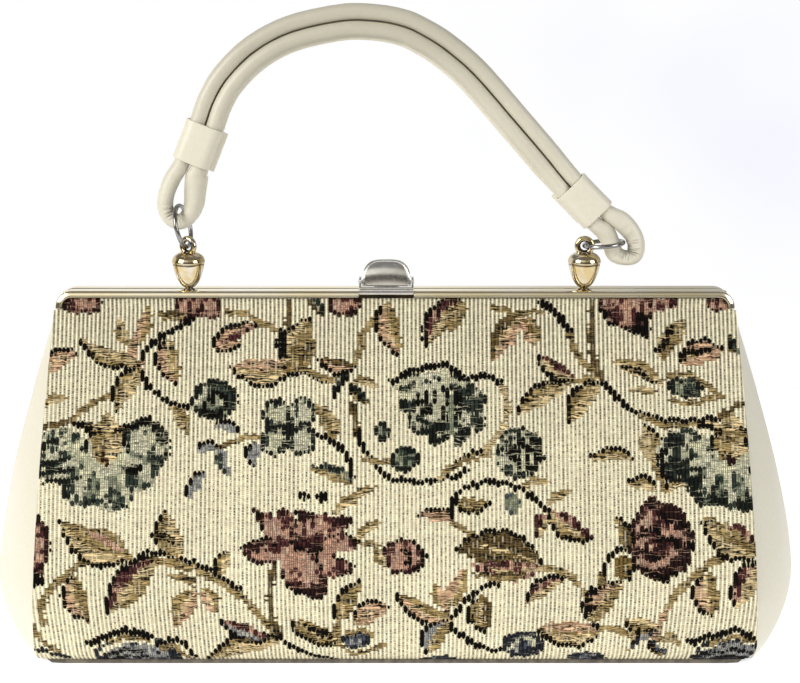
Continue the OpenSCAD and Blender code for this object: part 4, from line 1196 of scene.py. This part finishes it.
# Lock seat: a nickel bar with a moulding above it and two ears for the pin, set in the frame's notch.
# A near black strip under the bar is painted shade for the recess where the bar stands off the channel.
seat_line = [
    (0.7, 146.0), (0.7, 146.8), (6.2, 146.8), (6.25, 147.4), (6.45, 147.6), (6.7, 147.58), (6.9, 147.35),
    (6.98, 146.95), (7.0, 146.8), (7.25, 146.75), (7.36, 146.55), (7.33, 146.3), (7.2, 146.12), (7.5, 145.95),
    (7.74, 145.6), (7.78, 145.25), (7.66, 144.9), (7.35, 144.6), (6.9, 144.46), (6.35, 144.45), (6.35, 146.0),
]
ear_line = [
    (1.45, 146.5), (1.45, 150.2), (1.9, 151.0), (2.7, 151.4), (4.8, 151.4), (5.6, 151.0), (6.05, 150.2),
    (6.05, 146.5),
]
strip_line = [(6.35, 143.15), (6.35, 144.6), (6.9, 144.6), (6.9, 143.15)]
seat_left = -14.5
seat_right = 7.5
ear_thick = 0.8


def lock_run(line, *places):
    return [[(x, -out, z) for out, z in line] for x in places]


seat_runs = (
    lock_run(seat_line, seat_left, seat_left + 0.2, seat_right - 0.2, seat_right),
    lock_run(ear_line, seat_left, seat_left + ear_thick),
    lock_run(ear_line, seat_right - ear_thick, seat_right),
)
seat = swept(seat_runs, nickel, "lock_seat")
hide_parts("lock_bracket")
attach(seat, "bag")
# The strip is a dark sheet that stands for the shade in the recess.
strip = swept([lock_run(strip_line, seat_left, seat_right)], recess_shade_black, "lock_shade_strip")
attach(strip, "bag")


# Posts: a turned acorn of gold-tone metal on a short foot, its cap a soft step wider than the nut.
# A thick wire eye stands in the cap for the ring, and painted shade darkens the step, the foot and the inside
# of the eye.
def wire_ring(radius, wire, sides=20, steps=72):
    """A ring about the x axis, its lowest point at the origin."""
    turn, round_wire = 2 * np.pi * np.arange(steps) / steps, 2 * np.pi * np.arange(sides) / sides
    a, b = np.meshgrid(turn, round_wire, indexing="ij")
    r = radius + wire * np.cos(b)
    points = np.stack([wire * np.sin(b), r * np.sin(a), radius - r * np.cos(a)], axis=-1).reshape(-1, 3)
    at = np.arange(steps * sides).reshape(steps, sides)
    return points, sheet_faces(closed(np.vstack([at, at[:1]])), -1)


def turned(points, about_z, about_y):
    a, b = math.radians(about_z), math.radians(about_y)
    spin = np.array([[math.cos(a), -math.sin(a), 0], [math.sin(a), math.cos(a), 0], [0, 0, 1]])
    tip = np.array([[math.cos(b), 0, math.sin(b)], [0, 1, 0], [-math.sin(b), 0, math.cos(b)]])
    return points @ spin.T @ tip.T


acorn_line = np.array([
    (0.6, -0.75), (0.6, -0.1), (2.3, -0.1), (2.4, 0.15), (1.5, 0.4), (1.8, 0.65), (2.7, 1.2), (3.8, 2.5),
    (4.75, 4.3), (5.46, 6.3), (5.98, 8.2), (6.32, 9.7), (6.36, 10.25), (6.42, 10.55), (6.60, 10.9),
    (6.62, 11.5), (6.36, 12.45), (5.8, 13.4), (4.8, 14.25), (3.5, 14.85), (1.9, 15.2), (0.01, 15.35),
])
post_z = 146.55
step_z = 10.3
foot_high = 2.6
eye_round = 2.9
eye_wire = 1.18
eye_z = 164.1
acorn_sides = 64
knots = np.vstack([acorn_line[:1], acorn_line, acorn_line[-1:]])
acorn_side = [on_curve(*knots[i : i + 4], t) for i in range(len(acorn_line) - 1) for t in np.arange(5) / 5]
acorn_side = np.array(acorn_side + [acorn_line[-1]])
a = 2 * np.pi * np.arange(acorn_sides) / acorn_sides
acorn = np.stack([
    np.outer(acorn_side[:, 0], np.cos(a)), np.outer(acorn_side[:, 0], np.sin(a)),
    np.outer(acorn_side[:, 1], np.ones(acorn_sides)),
], axis=-1).reshape(-1, 3)
acorn_faces = sheet_faces(closed(np.arange(len(acorn)).reshape(-1, acorn_sides)))
eye, eye_faces = wire_ring(eye_round, eye_wire)
# Painted shade: in the step under the cap, towards the foot and inside the eye.
in_step = 0.75 * np.exp(-((acorn_side[:, 1] - step_z) / 0.3) ** 2)
at_foot = 0.5 * np.clip((foot_high - acorn_side[:, 1]) / foot_high, 0, 1)
in_eye = np.clip(-1.3 * np.cos(2 * np.pi * np.arange(20) / 20), 0, 0.95)
for post_name, x, eye_turn in (("left_post", -83.7, 60), ("right_post", 76.7, 80)):
    eye_points = turned(eye - (0, 0, eye_round), eye_turn, 0) + (x, hang_y, eye_z)
    points = np.concatenate([acorn + (x, hang_y, post_z), eye_points])
    faces = np.concatenate([acorn_faces, eye_faces + len(acorn)])
    piece = mesh_piece(post_name + "_acorn", points, faces, post_gold)
    set_smudge_and_shade(piece, np.concatenate([np.repeat(in_step + at_foot, acorn_sides), np.tile(in_eye, 72)]))
    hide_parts(post_name)
    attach(piece, post_name.replace("post", "acorn"))

# Rings: jump rings of dark nickel wire that hold the handle's loops in the posts' eyes.
# The left one stands in its loop, and the right one is pulled flat.
ring_wire = 0.9
for ring_name, ring_round, hung_at, spin, tip in (
    ("left_ring", 8.4, (-83.75, 163.9), -10, -12), ("right_ring", 7.85, (76.55, 164.15), 0, 84.5),
):
    points, faces = wire_ring(ring_round, ring_wire)
    points = turned(points, spin, tip) + (hung_at[0], hang_y, hung_at[1])
    piece = mesh_piece(ring_name + "_wire", points, faces, ring_steel)
    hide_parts(ring_name)
    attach(piece, "rings")

# Thumb piece: a pressed nickel pad with a bright rolled rim and a domed face, bent back at its top.
# It turns on the pin behind its foot, and its tail reaches back over the mouth.
thumb_x = -3.5
thumb_z = 152.2
thumb_y = -5.5
pin_z = 149.4
pad_bend = 12
pad_side = [
    (-9.8, 147.9), (-9.95, 149.7), (-9.8, 151.8), (-9.35, 153.9), (-8.4, 155.7), (-6.95, 157.1),
    (-5.1, 157.95), (-2.6, 158.3), (0, 158.35),
]
pad_foot = [(u, 147.75) for u in (9.3, 6, 3, 0, -3, -6, -9.3)]
pad_line = np.array(pad_side + [(-u, v) for u, v in pad_side[-2::-1]] + pad_foot)
pad_line = smooth_loop(pad_line, 4) - (0, thumb_z)
rim_steps = (
    (0.90, 0.9), (0.965, 0.85), (1.0, 0.5), (1.0, 0.0), (0.985, -0.36), (0.95, -0.52), (0.915, -0.42),
    (0.89, -0.10), (0.87, 0.05),
)
face_steps = [(k, 0.0) for k in (0.85, 0.82, 0.76, 0.68, 0.56, 0.42, 0.28, 0.14, 0.01)]
points = []
for k, y in (*rim_steps, *face_steps):
    for u, v in pad_line * k:
        bent = pad_bend - math.sqrt(pad_bend ** 2 - (v + 1.96 + 0.013 * u * u) ** 2)
        points.append((thumb_x + u, thumb_y + y + bent, thumb_z + v))
at = np.arange(len(points)).reshape(-1, len(pad_line))
tail_line = np.array([
    (-4.9, 1.9), (-3.75, 2.2), (-2.2, 1.6), (-0.5, 0.3), (2.4, -0.6), (5.0, -0.9), (5.0, -1.6), (2.4, -1.4),
    (-1.0, -1.0), (-3.75, -2.2), (-4.9, -1.9),
])
tail_heart = np.array([-3, 0])
tail_at = len(points) + np.arange(4 * len(tail_line)).reshape(4, len(tail_line))
for w, size in ((-5, 0.94), (-4.8, 1), (4.8, 1), (5, 0.94)):
    points += [(thumb_x + w, y, pin_z + z) for y, z in (tail_line - tail_heart) * size + tail_heart]
pad_faces = [*sheet_faces(closed(at), -1), at[0][::-1]]
tail_faces = [*sheet_faces(closed(tail_at)), tail_at[0], tail_at[-1][::-1]]
thumb = mesh_piece("thumb_pad", points, pad_faces + tail_faces, nickel)
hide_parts("thumb_tab")
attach(thumb, "thumb")

# Floor and light: a pale painted table top, which glows a little so that it runs out into white.
# Large soft boxes light the bag from both sides in front, and a weak one from behind.
floor_paint, bench, shader = new_finish("floor_paint", 0.8, Specular_IOR_Level=0.1, Emission_Strength=1.0)
drift = bench.mottle(bench.place(), 2.5, 2.0)
paint = bench.blend("MIX", drift, (0.93, 0.93, 0.93, 1), (0.90, 0.90, 0.92, 1))
bench.set(shader["Base Color"], paint)
ray = bench.add("ShaderNodeLightPath").outputs
seen = bench.sum("ADD", ray["Is Camera Ray"], ray["Is Glossy Ray"])
bench.set(shader["Emission Color"], bench.blend("MULTIPLY", 1.0, paint, bench.scaled(seen, 0.36, 0.32)))
points = [(x, y, -0.2) for y in np.linspace(-280, 420, 8) for x in np.linspace(-600, 600, 9)]
floor = mesh_piece("floor", points, sheet_faces(np.arange(len(points)).reshape(8, 9)), floor_paint)


def soft_box(name, where, aim, size, power, colour):
    light = bpy.data.lights.new(name, "AREA")
    light.shape = "RECTANGLE"
    light.size, light.size_y = size
    light.energy = power
    light.color = colour
    box = bpy.data.objects.new(name, light)
    box.location = where
    box.rotation_euler = (Vector(aim) - Vector(where)).to_track_quat("-Z", "Y").to_euler()
    scene.collection.objects.link(box)


soft_box("key", (-1.25, -1.0, 0.75), (0, 0, 0.1), (0.9, 0.9), 21.0, (1.0, 0.985, 0.955))
soft_box("fill", (1.35, -0.9, 0.6), (0, 0, 0.1), (0.8, 0.8), 10.5, (0.98, 0.985, 1.0))
soft_box("back", (0.2, 1.0, 1.3), (0, 0, 0.05), (1.4, 0.9), 1.5, (1, 1, 1))

# Surround: what the metal mirrors. It is warm and bright at the left, dimmer at the right and dark at both
# far sides, with a bright panel high in front and a white backdrop. The camera sees a white, hazy sky.
world = bpy.data.worlds.new("surround")
scene.world = world
world.use_nodes = True
bench = Bench(world.node_tree)
bench.nodes.clear()
ray = bench.add("ShaderNodeLightPath").outputs
aim = bench.add("ShaderNodeTexCoord").outputs["Generated"]
right, back, up = bench.add("ShaderNodeSeparateXYZ", aim).outputs
to_right = bench.step(right, -0.22, 0.24)
room = bench.blend("MIX", to_right, (1.9, 1.82, 1.66, 1), (0.86, 0.78, 0.62, 1))
far_side = bench.step(bench.sum("ABSOLUTE", right), 0.62, 0.9)
room = bench.blend("MIX", far_side, room, (0.16, 0.13, 0.08, 1))
room = bench.blend("MIX", bench.step(up, -0.44, -0.04), room, (0.19, 0.18, 0.16, 1))
room = bench.blend("MIX", bench.step(up, 0.2, 0.65), room, (0.45, 0.45, 0.46, 1))
front_high = bench.times(bench.step(up, 0.24, 0.34), bench.step(up, 0.68, 0.56))
front_high = bench.times(front_high, bench.step(back, -0.3, -0.5))
panel = bench.blend("MIX", to_right, (2.15, 2.11, 1.98, 1), (0.92, 0.88, 0.78, 1))
room = bench.blend("MIX", front_high, room, panel)
behind = bench.times(bench.step(back, -0.05, 0.35), bench.step(up, 0.6, 0.3))
backdrop = bench.blend("MIX", bench.step(right, -0.02, 0.2), (2.0, 2.0, 2.0, 1), (1.0, 1.0, 1.0, 1))
backdrop = bench.blend("MIX", ray["Is Glossy Ray"], (1.3, 1.3, 1.3, 1), backdrop)
room = bench.blend("MIX", behind, room, backdrop)
haze = bench.times(bench.step(right, 0.0, 0.25), bench.step(up, -0.2, -0.05))
haze = bench.times(haze, bench.step(bench.mottle(aim, 5.0, 2.0), 0.35, 0.7))
white = bench.blend("MIX", haze, (1, 1, 1, 1), (0.86, 0.87, 1, 1))
light_sky = bench.add("ShaderNodeBackground", room, 0.5).outputs[0]
white_sky = bench.add("ShaderNodeBackground", white, 1.0).outputs[0]
sky = bench.add("ShaderNodeMixShader", ray["Is Camera Ray"], light_sky, white_sky).outputs[0]
bench.add("ShaderNodeOutputWorld", sky)
scene.view_settings.view_transform = "Standard"
